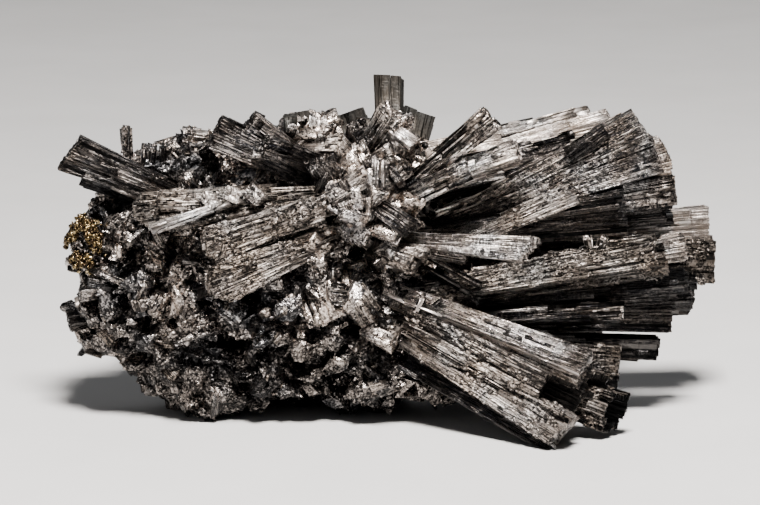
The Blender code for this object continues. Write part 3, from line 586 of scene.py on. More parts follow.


# %% [markdown]
# ## The sprays
# Each solid of the frame is replaced by its own stack of laths, blade by blade, in the same places as the solid's
# blades. Every blade names its look, because within one spray some are silky, some torn and some etched, and some
# looks wear lighter or darker copies of the finish, which paint light on lit blades and shade on shaded ones.

# %% Where the blades are: root, tip, width and thickness at both ends, face, look, ragged, slant, arc, hollow, rake
SPRAYS = {
    "upper_right_spray": [
        ((3, 1.4, 31.4), (14, 2.6, 33.4), (2.6, 3.2), (1.8, 2), UP, "pale", 0.4),
        ((3, 2, 30.3), (25.2, 5.8, 34.6), (3.4, 4.8), (2, 2.6), UP, "pale"),
        ((4, 1, 29.2), (27.6, 4.6, 34.6), (2.6, 4.4), (2, 2.6), UP, "pale", 1.6),
        ((4.5, 0.5, 27.8), (23.5, 2.6, 32.2), (3, 4.6), (2.2, 3), UP, "fluted", 2.4),
        ((8.2, -1.8, 24.6), (30.6, -2, 36.1), (2.2, 4.4), (2, 2.6), FRONT, "silky", 0.3, -0.3),
        ((8.2, -2, 24.2), (32.6, -1.8, 32.6), (2.2, 4.6), (2.2, 2.8), FRONT, "silky", 0.3),
        ((6.5, 0.5, 24), (34.4, 1.2, 31.4), (2.6, 5.8), (2.4, 3.2), FRONT, "smooth", 0.2, 0, 0.9),
        ((7, -1.5, 23.4), (34.9, 0.2, 28), (2.2, 3.6), (2.4, 3.2), FRONT, "silky"),
        ((21.8, -3.4, 32.6), (26.2, -3.6, 35.8), (1.8, 1.9), (1.4, 1.5), FRONT, "fluted", 0.3),
        ((6, -2.4, 23.2), (28.8, -2.6, 26), (2.4, 4.6), (2.4, 3.4), DOWN, "dim", 2.5),
        ((10.4, -3.6, 22.6), (22.4, -4.2, 28.2), (1.6, 2.8), (1.6, 2), FRONT, "etched", 0.5, -0.6),
    ],
    "forked_blade": [
        ((3.2, -5.6, 29.9), (12.6, -7.8, 38), (1.6, 3.4), (1.2, 1.7), FRONT, "split"),
        ((3.2, -6.6, 28.6), (9.9, -7.6, 32), (2.2, 2.5), (2, 2.2), FRONT, "plain", 0.3),
        ((3.2, -5.8, 28.8), (15.8, -7, 33.8), (1.8, 2.8), (1.6, 2.2), UP, "torn"),
    ],
    "centre_blade": [
        ((1.6, -6, 22.9), (16.9, -14, 23.3), (1.5, 3.1), (1.4, 2), (0.2, -0.95, 0.3), "smooth", 0.3, 1.1),
        ((1.6, -5.6, 22.2), (9.6, -9.4, 21.4), (1.4, 1.6), (1.4, 1.2), DOWN),
    ],
    "middle_right_spray": [
        ((5, -5, 15.8), (33.6, -3.4, 20.6), (3, 4.8), (2.4, 3), UP, "crusty", 1.6),
        ((6, -4.4, 16.2), (36, -2.6, 21.4), (1.8, 3), (1.8, 2.6), FRONT, "smooth"),
        ((6, -3.6, 14), (36.9, -0.4, 15.2), (3, 5.4), (2.4, 3.2), DOWN, "fluted", 2),
        ((6, -4.6, 12.2), (28.4, -5.8, 14), (1.9, 2), (2, 1.8), UP, "fluted", 0.3, 0.6),
        ((23, -6.2, 13.5), (28.5, -6.5, 14.1), (1.2, 1.5), (0.6, 0.6), FRONT, "smooth", 0.3),
        ((6, -2.4, 12.6), (34.6, -0.6, 12), (2.4, 3.2), (2.2, 2.6), FRONT, "fluted"),
        ((24.6, -3, 20.2), (24.1, -4.6, 23), (0.8, 1.1), (0.5, 0.7), FRONT, "smooth", 0.2),
        ((25.4, -2.8, 20.4), (26.2, -4, 22.6), (0.6, 0.9), (0.5, 0.7), FRONT, "torn", 0.2),
    ],
    "underside_spray": [
        ((5, -2.6, 9.8), (33.2, -0.6, 8.2), (2, 2.7), (2, 2.4), FRONT, "fluted", 0.7),
        ((5, -4, 9), (28.2, -5.2, 7.4), (2, 4.2), (2, 2.6), FRONT, "crusty", 0.5),
        ((5, -3.6, 7.6), (28, -5.6, 4.8), (2, 2.7), (2, 2.4), FRONT, "fluted"),
    ],
    "far_right_spray": [
        ((6.5, 4.4, 21.6), (35, 4.6, 24.6), (2.2, 3.4), (2.4, 2.6), DOWN, "fluted", 2.6),
        ((6.5, 5.4, 20), (39.7, 8.6, 21.8), (2.6, 4.5), (2.4, 3), FRONT, "pale", 0.3),
        ((6.5, 5.4, 18.4), (40.5, 8, 17.4), (3.4, 5.6), (2.6, 3.6), FRONT, "crusty", 1.2),
        ((6.5, 5, 16.4), (38, 6.2, 13.8), (3.2, 4.4), (2.6, 3.4), DOWN, "fluted", 1.4),
    ],
    "lower_right_spray": [
        ((2.6, -6.6, 15.4), (23.6, -15.2, 8.6), (2.2, 3.6), (2.6, 4.6), (0.1, -0.6, 0.8), "silky", 0.7),
        ((2.8, -7.4, 13.4), (22.5, -17, 5), (3.2, 5), (2.2, 3.8), FRONT, "etched", 0.3, 0, 0, 8, 4.8),
        ((2.6, -6.8, 10.8), (21, -17.6, 2.2), (2.4, 4.2), (2.4, 3.6), FRONT, "etched", 0.5, 0.6),
        ((3, -7, 8.2), (20.4, -16, 1), (2.6, 4.4), (2.4, 3.4), FRONT, "fluted", 1.4),
        ((6.4, -6.8, 10.6), (26, -14, 6.4), (2.4, 3.2), (2.4, 3.4), FRONT, "etched", 0.3, 0, 0, 5, 2.6),
        ((6.4, -6.4, 9.2), (28.4, -12.8, 2.9), (2.6, 5), (2.4, 3.4), FRONT, "crusty", 0.6, 0, 0, 4, 2),
    ],
    "upper_left_spray": [
        ((-8.6, -4, 30), (-20.6, -5.4, 36), (2.4, 4.2), (2.2, 2.8), FRONT, "dim"),
        ((-8.6, -3.4, 30.6), (-16.8, -4.8, 36.8), (2.6, 3.4), (2.2, 2.6), FRONT, "dim"),
        ((-7.4, -3.4, 31.4), (-16.4, -5, 33.2), (2.2, 2.6), (2.4, 2.4), UP, "etched"),
        ((-8.6, -4.4, 32), (-14.6, -8, 34.8), (2.2, 2.4), (2.6, 1.8), FRONT, "fluted", 0.4),
    ],
    "far_left_spray": [
        ((-25, -2, 27.2), (-38.2, -3, 32.9), (2.4, 4.5), (1.8, 2.6), FRONT, "dim", 0.4, 0.6),
        ((-25, -1.4, 25.8), (-36.6, -1.8, 30), (1.8, 2.2), (1.8, 2.2), DOWN, "fluted"),
    ],
    "left_spray": [
        ((-6.6, -6, 28.6), (-29.4, -8.6, 28), (1, 1.4), (1.6, 1.8), UP, "crusty", 2.4),
        ((-6.6, -7, 27.8), (-27.4, -11.6, 25.8), (1, 1.5), (1.4, 1.4), UP, "crusty", 1.4),
        ((-7, -6.8, 27.4), (-22, -11.4, 23), (2.2, 4.6), (2.2, 2.8), FRONT, "velvet", 0.6, 0, 1.4),
        ((-7.6, -6.6, 22.9), (-21.4, -11.8, 18.4), (2.4, 5.6), (2.4, 3.2), FRONT, "velvet", 0.4, 0, 2.2),
        ((-14, -7.8, 28.8), (-30.2, -9.8, 27.1), (1.8, 4), (1.6, 2), FRONT, "crusty", 0.4, 0, 1.8),
        ((-16, -8.6, 28.4), (-27.4, -10.6, 28.4), (1.2, 2.6), (1.2, 1.4), FRONT, "velvet", 0.8, 0, 0.8),
        ((-20.6, -11.2, 27.7), (-28, -12.4, 25.3), (0.7, 1.1), (0.5, 0.7), UP, "pale", 0.9),
    ],
    "top_back_spray": [
        ((0.4, 10.4, 26), (0.2, 16.8, 38.8), (2.6, 3.3), (2.2, 2.4), FRONT, "dull", 0.5),
        ((1.6, 10.6, 25.6), (4, 16.6, 34.2), (3.2, 4), (2.2, 3), FRONT, "dull"),
        ((-1.4, 10.4, 25.6), (-4.4, 15.8, 34.2), (3, 3.6), (2.2, 2.8), FRONT, "dull"),
    ],
    "small_back_spray": [
        ((-9.6, 8.6, 26.6), (-10.9, 14.2, 34.4), (2.6, 3.8), (2.2, 2.6), FRONT, "dull"),
        ((-11, 9, 26.6), (-15.6, 14.6, 32), (2.4, 3.2), (2, 2.4), BACK, "dull"),
    ],
    "rear_right_spray": [
        ((3.4, 11, 22.6), (25.6, 15.4, 29.4), (2.8, 5.4), (2.2, 3), BACK, "silky", 0.6, 0, 0.6),
        ((3.4, 11.6, 20.6), (31, 15.8, 23.6), (3.4, 5.6), (2.4, 3.2), BACK, "etched", 1.6),
        ((3.4, 12.2, 18.6), (27, 18, 17.6), (2.8, 4.4), (2.4, 3), BACK, "silky", 1.6),
    ],
    "rear_lower_spray": [
        ((1.4, 11.2, 12.6), (27.4, 13.4, 9.6), (2.8, 5.2), (2.4, 3), BACK, "silky"),
        ((1.4, 12, 10.6), (21.4, 17.4, 5.8), (2.6, 4.4), (2.4, 3), BACK, "fluted", 1.4),
    ],
    "rear_left_spray": [
        ((-14, 10.8, 19.4), (-28.6, 16.2, 25.8), (2.6, 4.8), (2.2, 2.8), BACK, "silky"),
        ((-14, 11.4, 17.4), (-31, 16, 19.4), (2.6, 4.4), (2.2, 2.8), BACK, "etched", 1.6),
        ((-13, 11, 17.4), (-22, 17.6, 13.6), (2.8, 4), (2.4, 2.8), BACK, "fluted"),
    ],
}
SPRAYS = {node: [Blade(*row) for row in rows] for node, rows in SPRAYS.items()}
print("blades:", sum(map(len, SPRAYS.values())))


# %% Grains and splinters on the blades
def unit(vectors):
    return vectors / np.maximum(np.linalg.norm(vectors, axis=-1, keepdims=True), 1e-9)


def free_copies(template, centre, along, up, half, rng, oblique, finish, tone=None, groove=None):
    """Copies that lie anywhere. half is an array of half widths, half depths and lengths in mm."""
    count = len(centre)
    side = unit(np.cross(up, along))
    up = np.cross(along, side)
    x, y, z = template.points.T[:, None, :, None]
    slope = rng.normal(0, oblique, (count, 2, 1, 1))
    width, depth, length = half.T[:, :, None, None]
    end = np.where(z > 0.5, 1.0, -1.0) * (slope[:, 0] * x * width + slope[:, 1] * y * depth)
    taper = 1 - 0.25 * rng.uniform(0, 1, (count, 1, 1)) * z
    points = centre[:, None] + side[:, None] * x * width * taper + up[:, None] * y * depth * taper
    points += along[:, None] * ((z - 0.5) * length + end)
    tone = rng.uniform(0, 1, count) if tone is None else tone
    # painted shade: copies that are given no edge marks are darkened a little in their grooves
    groove = np.full(count, 0.4) if groove is None else groove
    return many(template, points, half[:, (0, 2)], rng.uniform(0, 50, (count, 2)), tone, groove, finish)


def random_sizes(count, level, spread, ranges, rng):
    """Half widths, half depths and lengths in mm: about exp(level) times the ranges (low, high, columns)."""
    size = np.exp(rng.normal(level, spread, (count, 1)))
    return size * np.hstack([rng.uniform(low, high, (count, columns)) for low, high, columns in ranges])


def patchy(places, size, level):
    """Which of the places lie where a cloudy pattern of that size in mm is above the level."""
    return np.array([noise.noise(Vector(place / size)) > level for place in places])


def blade_places(b, count, reach, rng):
    """Random places on the long faces of the blade, up to that share of its length, and the way out there."""
    broad = rng.uniform(0, 1, count) < b.wide[1] / (b.wide[1] + b.thick[1])
    t, sign = rng.uniform(-1, 1, count), rng.choice((-1.0, 1.0), count)
    u, v = np.where(broad, t, sign), np.where(broad, sign, t)
    s = rng.uniform(0, 1, count) * reach
    return b.at(u, v, s), np.where(broad, 0, sign)[:, None] * b.across + np.where(broad, sign, 0)[:, None] * b.out


def whole_places(b, density, rng):
    """Places with that density on each square millimetre, as far along the blade as no face is broken off."""
    area = sum((*b.wide, *b.thick)) * b.length
    return blade_places(b, int(area * density), 0.99 - (b.ragged * 0.5 + b.rake + b.arc) / b.length, rng)


def grains_on(b, rng):
    """Flat grains that lie along the blade in patches."""
    look = LOOKS[b.look]
    place, normal = whole_places(b, look.grains, rng)
    kept = patchy(place, 3.0, -0.05)
    place, normal = place[kept], normal[kept]
    count = len(place)
    direction = unit(b.along + rng.normal(0, 0.3, (count, 3)))
    half = random_sizes(count, -2.1, 0.4, ((0.5, 1.1, 2), (1.4, 4.0, 1)), rng)
    up = normal + rng.normal(0, 0.5, (count, 3))
    return free_copies(CHIP, place - normal * 0.03, direction, up, half, rng, 0.3, look.finish)


def splinters_on(b, rng):
    """Thin laths that lie on the blade a few degrees askew, like the upper edges of crystals inside it."""
    look = LOOKS[b.look]
    place, normal = whole_places(b, look.splinters, rng)
    count = len(place)
    reach = np.minimum(rng.uniform(1.0, 6.0, count), b.length * 0.5)
    place = place - b.along * reach[:, None] / 2
    direction = unit(b.along + rng.normal(0, 0.03, (count, 3)))
    half = np.stack((rng.uniform(0.08, 0.4, count), rng.uniform(0.08, 0.22, count), reach), axis=-1)
    groove = rng.choice(EDGES, count)
    up = normal + rng.normal(0, 0.12, (count, 3))
    return free_copies(RIB, place, direction, up, half, rng, 0.3, look.finish, rng.uniform(0, 1, count), groove)


# %% Build the sprays
def adopt(piece, node=None):
    """Puts the piece in the part, where it rides on the body, and hides the solid it replaces, if one is named."""
    if node:
        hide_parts(node)
    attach(piece, "root")


for node, blades in SPRAYS.items():
    rng = np.random.default_rng(sum(map(ord, node)))
    parts = [part for b in blades for part in bundle(b, rng)]
    parts += [grains_on(b, rng) for b in blades if LOOKS[b.look].grains]
    parts += [splinters_on(b, rng) for b in blades if LOOKS[b.look].splinters]
    adopt(make_object(node + "_crystals", parts, 0.0), node)

# %% [markdown]
# ## The matrix
# Between the sprays the crystals crowd each other into a spongy mass of pores, broken shards and fine grains. Its
# rough shape is already in the frame's solid, so the piece starts as a merged copy of that. A voxel remesh gives it
# an even skin, which is pressed in at the larger holes and behind the pyrite. Displace modifiers with procedural
# textures then sink pores and raise crags in it, and a Decimate modifier leaves flat facets, like broken crystals.


# %% The porous mass
PYRITE_CENTRE = np.array((-36.0, -4.2, 21.5))
PYRITE_CLEAR = 4.4  # nothing else lies nearer to the pyrite than this, in mm
SPIKE = (-31.5, 2.0, 31.0)  # the foot of a thin crystal in the solid that keeps its shape
SPIKE_REACH = 2.2
SEAT_DEPTH = 2.6  # how far the mass is sunk behind the pyrite, in mm
VOXEL = 0.36  # the grid of the even skin, in mm
KEPT_FACES = 0.11  # the share of its faces that the mass keeps
PITS = [  # x and z of the middle, half width, half height and depth of the larger holes in the front
    (-3.2, 20.6, 2.4, 1.5, 3.4), (2.6, 22.4, 1.5, 1.1, 3), (-3.8, 12.2, 0.8, 1.3, 2.6),
    (-16.6, 22.4, 2.4, 1.1, 2.4), (-16.8, 16, 1.7, 1.4, 3.2), (-26, 22.6, 2.6, 2, 3), (-23.4, 17, 0.9, 1.5, 2.8),
    (-19.3, 31.6, 2.8, 1.8, 4), (-16.3, 4.8, 2.3, 1, 3), (-16.8, 7.6, 1.3, 0.7, 2.4), (-19, 10, 1, 1, 2.6),
    (-28.6, 12.4, 1.2, 0.9, 2.6), (-10.4, 7.6, 1.4, 0.8, 2.4), (-11.4, 19.2, 1.1, 1.5, 2.6),
    (-9.2, 28.8, 1.3, 0.8, 2.2),
]
RELIEF = (  # name, texture, size in mm, strength in mm, middle level and the stops that reshape the texture
    ("pores", "CLOUDS", 2.4, 3.4, 1.0, ((0.0, 0.0), (0.4, 0.15), (0.48, 0.9), (1.0, 1.0))),
    ("lumps", "CLOUDS", 2.6, 2.4, 0.5, ()),
    ("crags", "VORONOI", 1.6, 0.7, 0.3, ()),
)


def pit_depth(points):
    """How deep in mm each of the points in the drawing would be sunk by the pits."""
    depth = np.zeros(len(points))
    for x, z, wide, high, deep in PITS:
        away = np.hypot((points[:, 0] - x) / wide, (points[:, 2] - z) / high)
        depth = np.maximum(depth, deep * np.clip((1.25 - away) / 0.5, 0, 1))
    return np.where(points[:, 1] < 0, depth, 0.0)


def modify(name, kind, **settings):
    """Adds a modifier to the mass and applies it."""
    modifier = mass.modifiers.new(name, kind)
    for key, value in settings.items():
        setattr(modifier, key, value)
    bpy.ops.object.modifier_apply(modifier=modifier.name)


nothing_selected()
mass = bpy.data.objects.new("matrix_mass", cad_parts["matrix"].data.copy())
bpy.context.scene.collection.objects.link(mass)
mass.select_set(True)
bpy.context.view_layer.objects.active = mass
bpy.ops.object.mode_set(mode="EDIT")
bpy.ops.mesh.select_all(action="SELECT")
bpy.ops.mesh.remove_doubles(threshold=0.00001)
bpy.ops.object.mode_set(mode="OBJECT")
modify("even_skin", "REMESH", mode="VOXEL", voxel_size=VOXEL * MM)
skin = read(mass.data.vertices, "co", 3)
drawn = skin / MM + ORIGIN
near = np.linalg.norm(drawn - PYRITE_CENTRE, axis=1)
skin[:, 1] += MM * (SEAT_DEPTH * np.clip((PYRITE_CLEAR + 1 - near) / 2, 0, 1) + pit_depth(drawn))
mass.data.vertices.foreach_set("co", skin.ravel())
mass.data.update()
in_spike = (np.hypot(drawn[:, 0] - SPIKE[0], drawn[:, 1] - SPIKE[1]) < SPIKE_REACH) & (drawn[:, 2] > SPIKE[2])
mass.vertex_groups.new(name="rough").add(np.flatnonzero(~in_spike).tolist(), 1.0, "REPLACE")
for name, kind, size, strength, level, stops in RELIEF:
    texture = bpy.data.textures.new(name, kind)
    texture.noise_scale = size * MM
    if kind == "CLOUDS":
        texture.noise_depth = 2
    else:
        texture.distance_metric = "CHEBYCHEV"
    if stops:
        texture.use_color_ramp = True
        set_stops(texture.color_ramp, stops)
    settings = {"texture": texture, "texture_coords": "LOCAL", "strength": strength * MM, "mid_level": level}
    modify(name, "DISPLACE", vertex_group="rough", **settings)
modify("flat_facets", "DECIMATE", ratio=KEPT_FACES)
mass.vertex_groups.clear()
for vertex in mass.data.vertices:
    vertex.co.z = max(vertex.co.z, 0.0)
mass.data.materials.clear()
mass.data.materials.append(MATRIX)
adopt(mass, "matrix")
print("matrix mass:", len(mass.data.polygons), "faces")


# %% [markdown]
# ## Single crystals, facets, shards and crumbs
# Some crystals stand in the mass one by one, and those are listed, like the sprays. Others lie in its skin, so
# that only one bright or dark facet shows, and where the sprays meet, blocks lie over each other in a heap. Those are
# dropped onto it: a ray finds how far out the mass reaches there. Everything between them is broken laths in small
# parallel packets, and chips. Both are scattered over the skin: places are picked at random with as many on each
# square millimetre, and each packet leans between straight out and the direction away from the middle that all the
# sprays leave.


# %% Set the single crystals
def single(root, tip, wide, thick, face=FRONT, look="fluted", slant=0.0):
    return Blade(root, tip, (wide * 0.8, wide), (thick * 0.8, thick), face, look, 0.3, slant)


SINGLES = [
    single((-2.8, -1.2, 32.6), (0.4, -3.6, 38), 2.9, 2.4, (0.25, -0.9, 0.35), "slab"),
    single((0.6, -3.2, 36), (3.5, -4.6, 34), 1.6, 1.3, UP, "pale"),
    single((1.6, -1, 31), (2.4, -3.4, 34.6), 3.2, 2.6, (0.2, -0.9, 0.3), "slab", 0.4),
    single((-6, 0, 31), (-5.2, -0.6, 34.4), 2.2, 1.8, FRONT, "plain"),
    single((-8.4, -0.4, 31), (-8.2, -3, 37.4), 2.2, 1.6, FRONT, "pale", 0.5),
    single((-11.2, 0.6, 31), (-11.6, -0.4, 37), 1.6, 1.6, FRONT, "dull"),
    single((-3.4, 1, 31), (-2.6, 1.6, 36.4), 2, 1.8, FRONT, "dull"),
    single((-31.2, 2, 26), (-31.5, 2, 35.4), 0.9, 0.9, FRONT, "dim"),
    single((-24, 3, 29), (-23.6, 3.4, 34.8), 2.2, 1.8, FRONT, "plain"),
    single((-29, 0, 28), (-28.6, -0.6, 33.4), 2, 1.8, FRONT, "dim"),
    single((-26.4, 0.6, 29), (-26, -0.2, 33.2), 2.4, 1.6),
    single((-22, -4, 27), (-23.8, -7.2, 30), 1.6, 1.6),
    single((-20, -8.4, 28), (-21.4, -11.4, 28.5), 2.2, 1.6, (0.2, -0.8, 0.5), "pale"),
    single((-17.2, -8.2, 28.6), (-18.4, -11, 29.2), 2, 1.5, (-0.2, -0.8, 0.5), "pale"),
    single((-15, -7.8, 28.4), (-15.8, -10.6, 29.3), 2.4, 1.6, (0.1, -0.7, 0.6), "smooth", 0.5),
    single((-9.4, -5, 26), (-10.8, -9.8, 26.9), 2.6, 2.4, (0.2, -0.8, 0.4), "velvet", 0.6),
    single((-6, -4.6, 28.6), (-8, -6.8, 32.6), 3.2, 2.4, (-0.2, -0.9, 0.2), "dim", 0.4),
    single((-3.2, -6.4, 24), (-4.9, -8.4, 28.4), 2.5, 1.8, (0.1, -0.9, 0.3), "plain", 0.4),
    single((-1.4, -5.8, 26.2), (-0.9, -8, 29.8), 2, 1.6, (0.3, -0.9, 0.3), "rock", 0.3),
    single((-1.8, -6.8, 27.4), (3, -9.2, 24.6), 2.6, 1.8, (0.1, -0.9, 0.2), "dim", 0.5),
    single((2.4, -5.4, 26), (3.6, -7.2, 28.6), 2.8, 2, (0.2, -0.9, 0.3), "rock", -0.5),
    single((-5.6, -3.4, 30.6), (-2.8, -5.6, 32.6), 3, 2.2, (-0.1, -0.9, 0.3), "rock", 0.5),
    single((-2.2, -2.6, 31), (1, -5, 33.4), 2.6, 2, (0.1, -0.9, 0.4), "slab", 0.4),
    single((-9.6, -3, 33.6), (-5.4, -4.4, 34), 2.4, 2, (-0.1, -0.8, 0.5), "slab", 0.4),
    single((-6.4, -6.2, 24.6), (-2.2, -8.2, 23.6), 1.8, 2, (0, -0.8, 0.5), "rock", 0.6),
    single((-2.4, -6.4, 24.6), (1.6, -8.8, 23.8), 1.9, 2, (0, -0.8, 0.5), "rock", 0.5),
    single((-7.4, -6, 21.6), (-9.6, -8.2, 23.4), 2.6, 2, (0, -0.9, 0.2), "slab", 0.5),
    single((-8.2, -5, 27.8), (-5.6, -7.4, 29.2), 2.6, 2, (0, -0.9, 0.3), "rock", -0.5),
    single((-3.6, -0.6, 33), (-3, -3.4, 35.4), 3.2, 2.4, (-0.2, -0.8, 0.4), "dim", 0.6),
    Blade((0.6, -3, 29.8), (2, -7.4, 30.4), (2.6, 3), (2, 2.4), UP, "dim", 0.2, 0, 0, 2.4),
    single((-30, -3, 16.6), (-37, -5.4, 15.8), 1.5, 1.4, FRONT, "silky"),
    single((-33, -1, 12.8), (-38.7, -2, 11.8), 2.4, 1.8),
    single((-28, -5, 13.6), (-29.6, -7.6, 15.8), 1.7, 1.2, FRONT, "silky"),
    single((-2, -5, 22), (4, -9.4, 21.2), 3, 1.6, (0.1, -0.8, 0.4), "slab", 1.1),
    single((5, -5.6, 20.6), (11.4, -7.4, 17.4), 0.7, 0.6, FRONT, "silky"),
    single((4.6, -5.4, 19.4), (10, -7, 16.4), 0.6, 0.5),
    single((5.2, -5, 18.2), (11, -6.4, 15), 0.7, 0.5),
    single((2.6, -6.6, 12), (4.4, -9.6, 16.8), 0.6, 0.5, FRONT, "silky"),
    single((3.4, -7, 13), (6.6, -9.4, 16.2), 0.5, 0.4),
    single((5, -6.6, 11.4), (7.6, -9.8, 14.4), 0.5, 0.4, FRONT, "silky"),
    single((1.4, -6.6, 13.4), (6, -9.4, 12.6), 0.5, 0.5),
]
rng = np.random.default_rng(20)
adopt(make_object("single_crystals", [part for b in SINGLES for part in bundle(b, rng)]))


# %% Lay facets in the skin of the mass
RAY_START = -40.0  # how far in front the rays start that find the mass, in mm
RUBBLE = 52  # blocks where the sprays meet
RUBBLE_LOOKS = ("rock", "slab", "rock", "dim", "slab", "rock", "plain", "rock")
SKIN = bvhtree.BVHTree.FromObject(mass, bpy.context.evaluated_depsgraph_get())
FACETS = [  # x and z of its middle, the angle it lies at in degrees, its length and width, and its look
    (2.4, 34.2, 60, 2.4, 1.6, "smooth"), (-3.9, 32.6, 82, 3.3, 0.5, "smooth"), (-7.1, 15.6, -70, 5, 3, "rock"),
    (-4.6, 17.2, -80, 3.4, 2, "rock"), (-9, 14.2, -60, 3.2, 1.8, "crust"), (-2.6, 15.4, -60, 4.6, 3.2, "slab"),
    (-0.4, 12.2, -45, 4.2, 3.4, "rock"), (-3.4, 18.4, 20, 3.4, 2.4, "rock"), (-6.4, 12.6, 35, 3.2, 2.2, "slab"),
    (1.6, 15, 60, 3, 2.2, "slab"), (-32.1, 27.8, 80, 1.8, 1, "smooth"), (-27.6, 28.6, 70, 2.2, 0.6, "torn"),
    (-20.8, 27.8, 10, 2, 1.6, "torn"), (-18.2, 28.6, -12, 1.9, 1.6, "torn"), (-16.4, 27.6, 25, 2.2, 1.4, "torn"),
    (-12.9, 11.6, 50, 1.6, 0.9, "smooth"), (-13.8, 19, 30, 2.2, 0.6, "smooth"), (-7.5, 31.7, -60, 3.2, 2.6, "fluted"),
    (-6.1, 21.4, -80, 1.6, 1.4, "smooth"), (-4.6, 28, 15, 3.4, 2.6, "rock"), (-0.6, 26.6, -30, 3.4, 2.6, "rock"),
    (-9.8, 25.2, 35, 3.4, 2.4, "rock"), (-11.6, 22, 5, 4, 2.6, "crust"), (-27, 21.6, -65, 6.4, 0.8, "silky"),
    (-24.4, 15.2, 75, 4.4, 3.2, "block"), (-22.6, 12.6, 20, 4.4, 3, "block"), (-33.4, 18.4, -22, 4.6, 0.8, "silky"),
    (-34, 17.2, -22, 3.6, 0.7, "fluted"), (-29.2, 17, 72, 2.6, 1.2, "silky"), (-27.6, 15.6, 60, 2.4, 1, "plain"),
    (-18.6, 15, -35, 4.4, 3, "block"), (-16.4, 12.4, 15, 4.2, 3, "block"), (-3.2, 22.6, -20, 3.6, 2.4, "slab"),
    (-9.6, 30.2, -35, 3, 2.2, "rock"),
]


def facet(x, z, angle, length, width, look, rng, tip=0.15, lift=-0.15):
    """A short thick blade whose broad face lies in the skin, or lift mm over it, tipped a little at random."""
    start = (Vector((x, RAY_START, z)) - Vector(ORIGIN)) * MM
    place, normal, _, _ = SKIN.ray_cast(start, Vector((0, 1, 0)))
    out = unit(np.array((0.0, -1.0, 0.1)) + 0.6 * np.array(normal) + rng.normal(0, tip, 3))
    turn = math.radians(angle)
    along = np.array((math.cos(turn), 0.0, math.sin(turn)))
    along = unit(along - out * np.dot(along, out))
    middle = np.array((x, place.y / MM + ORIGIN[1], z)) + out * lift
    root, tip = middle - along * length / 2, middle + along * length / 2
    slant = rng.uniform(-0.3, 0.3) * width
    return Blade(root, tip, (width * 0.85, width), (1.0, 1.1), tuple(out), look, 0.5, slant, width * 0.15)


def rubble_facet(number, rng):
    """One of the blocks that lie over each other where the sprays meet, each with its own look."""
    x, z = rng.uniform(-11.5, 4.5), rng.uniform(22.5, 33.0)
    length, width, angle = rng.uniform(2.0, 3.8), rng.uniform(1.6, 2.8), rng.uniform(-90, 90)
    look = RUBBLE_LOOKS[number % len(RUBBLE_LOOKS)]
    return facet(x, z, angle, length, width, look, rng, 0.4, rng.uniform(0.2, 1.4))


rng = np.random.default_rng(19)
parts = [part for row in FACETS for part in bundle(facet(*row, rng), rng)]
parts += [part for number in range(RUBBLE) for part in bundle(rubble_facet(number, rng), rng)]
adopt(make_object("matrix_facets", parts))

# %% Pick places on the skin
HUB = np.array((1.0, 0.0, 21.0))  # the middle that all the sprays leave
HEAP, HEAP_REACH = (-2.0, -5.0, 28.0), (9.0, 9.0, 8.0)  # the upper middle, where blocks lie over each other


def skin_samples(count, rng):
    """Random points on the mass in mm of the drawing, with the normals there."""
    mesh = mass.data
    mesh.calc_loop_triangles()
    points = read(mesh.vertices, "co", 3) / MM + ORIGIN
    a, b, c = points[read(mesh.loop_triangles, "vertices", 3, np.int64).T]
    normal = np.cross(b - a, c - a)
    area = np.linalg.norm(normal, axis=1)
    chosen = rng.choice(len(area), count, p=area / area.sum())
    r, t = np.sqrt(rng.uniform(0, 1, (count, 1))), rng.uniform(0, 1, (count, 1))
    place = a[chosen] * (1 - r) + b[chosen] * r * (1 - t) + c[chosen] * r * t
    return place, normal[chosen] / np.maximum(area[chosen, None], 1e-12)


def from_pyrite(place):
    return np.linalg.norm(place - PYRITE_CENTRE, axis=1)


def in_heap(place):
    """Which of the places lie in the upper middle, where the sprays meet."""
    return np.linalg.norm((place - HEAP) / HEAP_REACH, axis=-1) < 1


def kept_clear(place):
    """Which of the places lie neither near the pyrite nor in a pit."""
    off_pyrite = np.linalg.norm((place - PYRITE_CENTRE) * (1.2, 0.6, 1.0), axis=-1) > PYRITE_CLEAR
    return off_pyrite & (pit_depth(place) < 1.0)


# %% Scatter the shards
SHARD_PACKETS = 800
LARGE_SHARE = 0.3
LOW = 11.0  # below this height in mm the shards are smaller, and painted darker as fewer get the lit copy


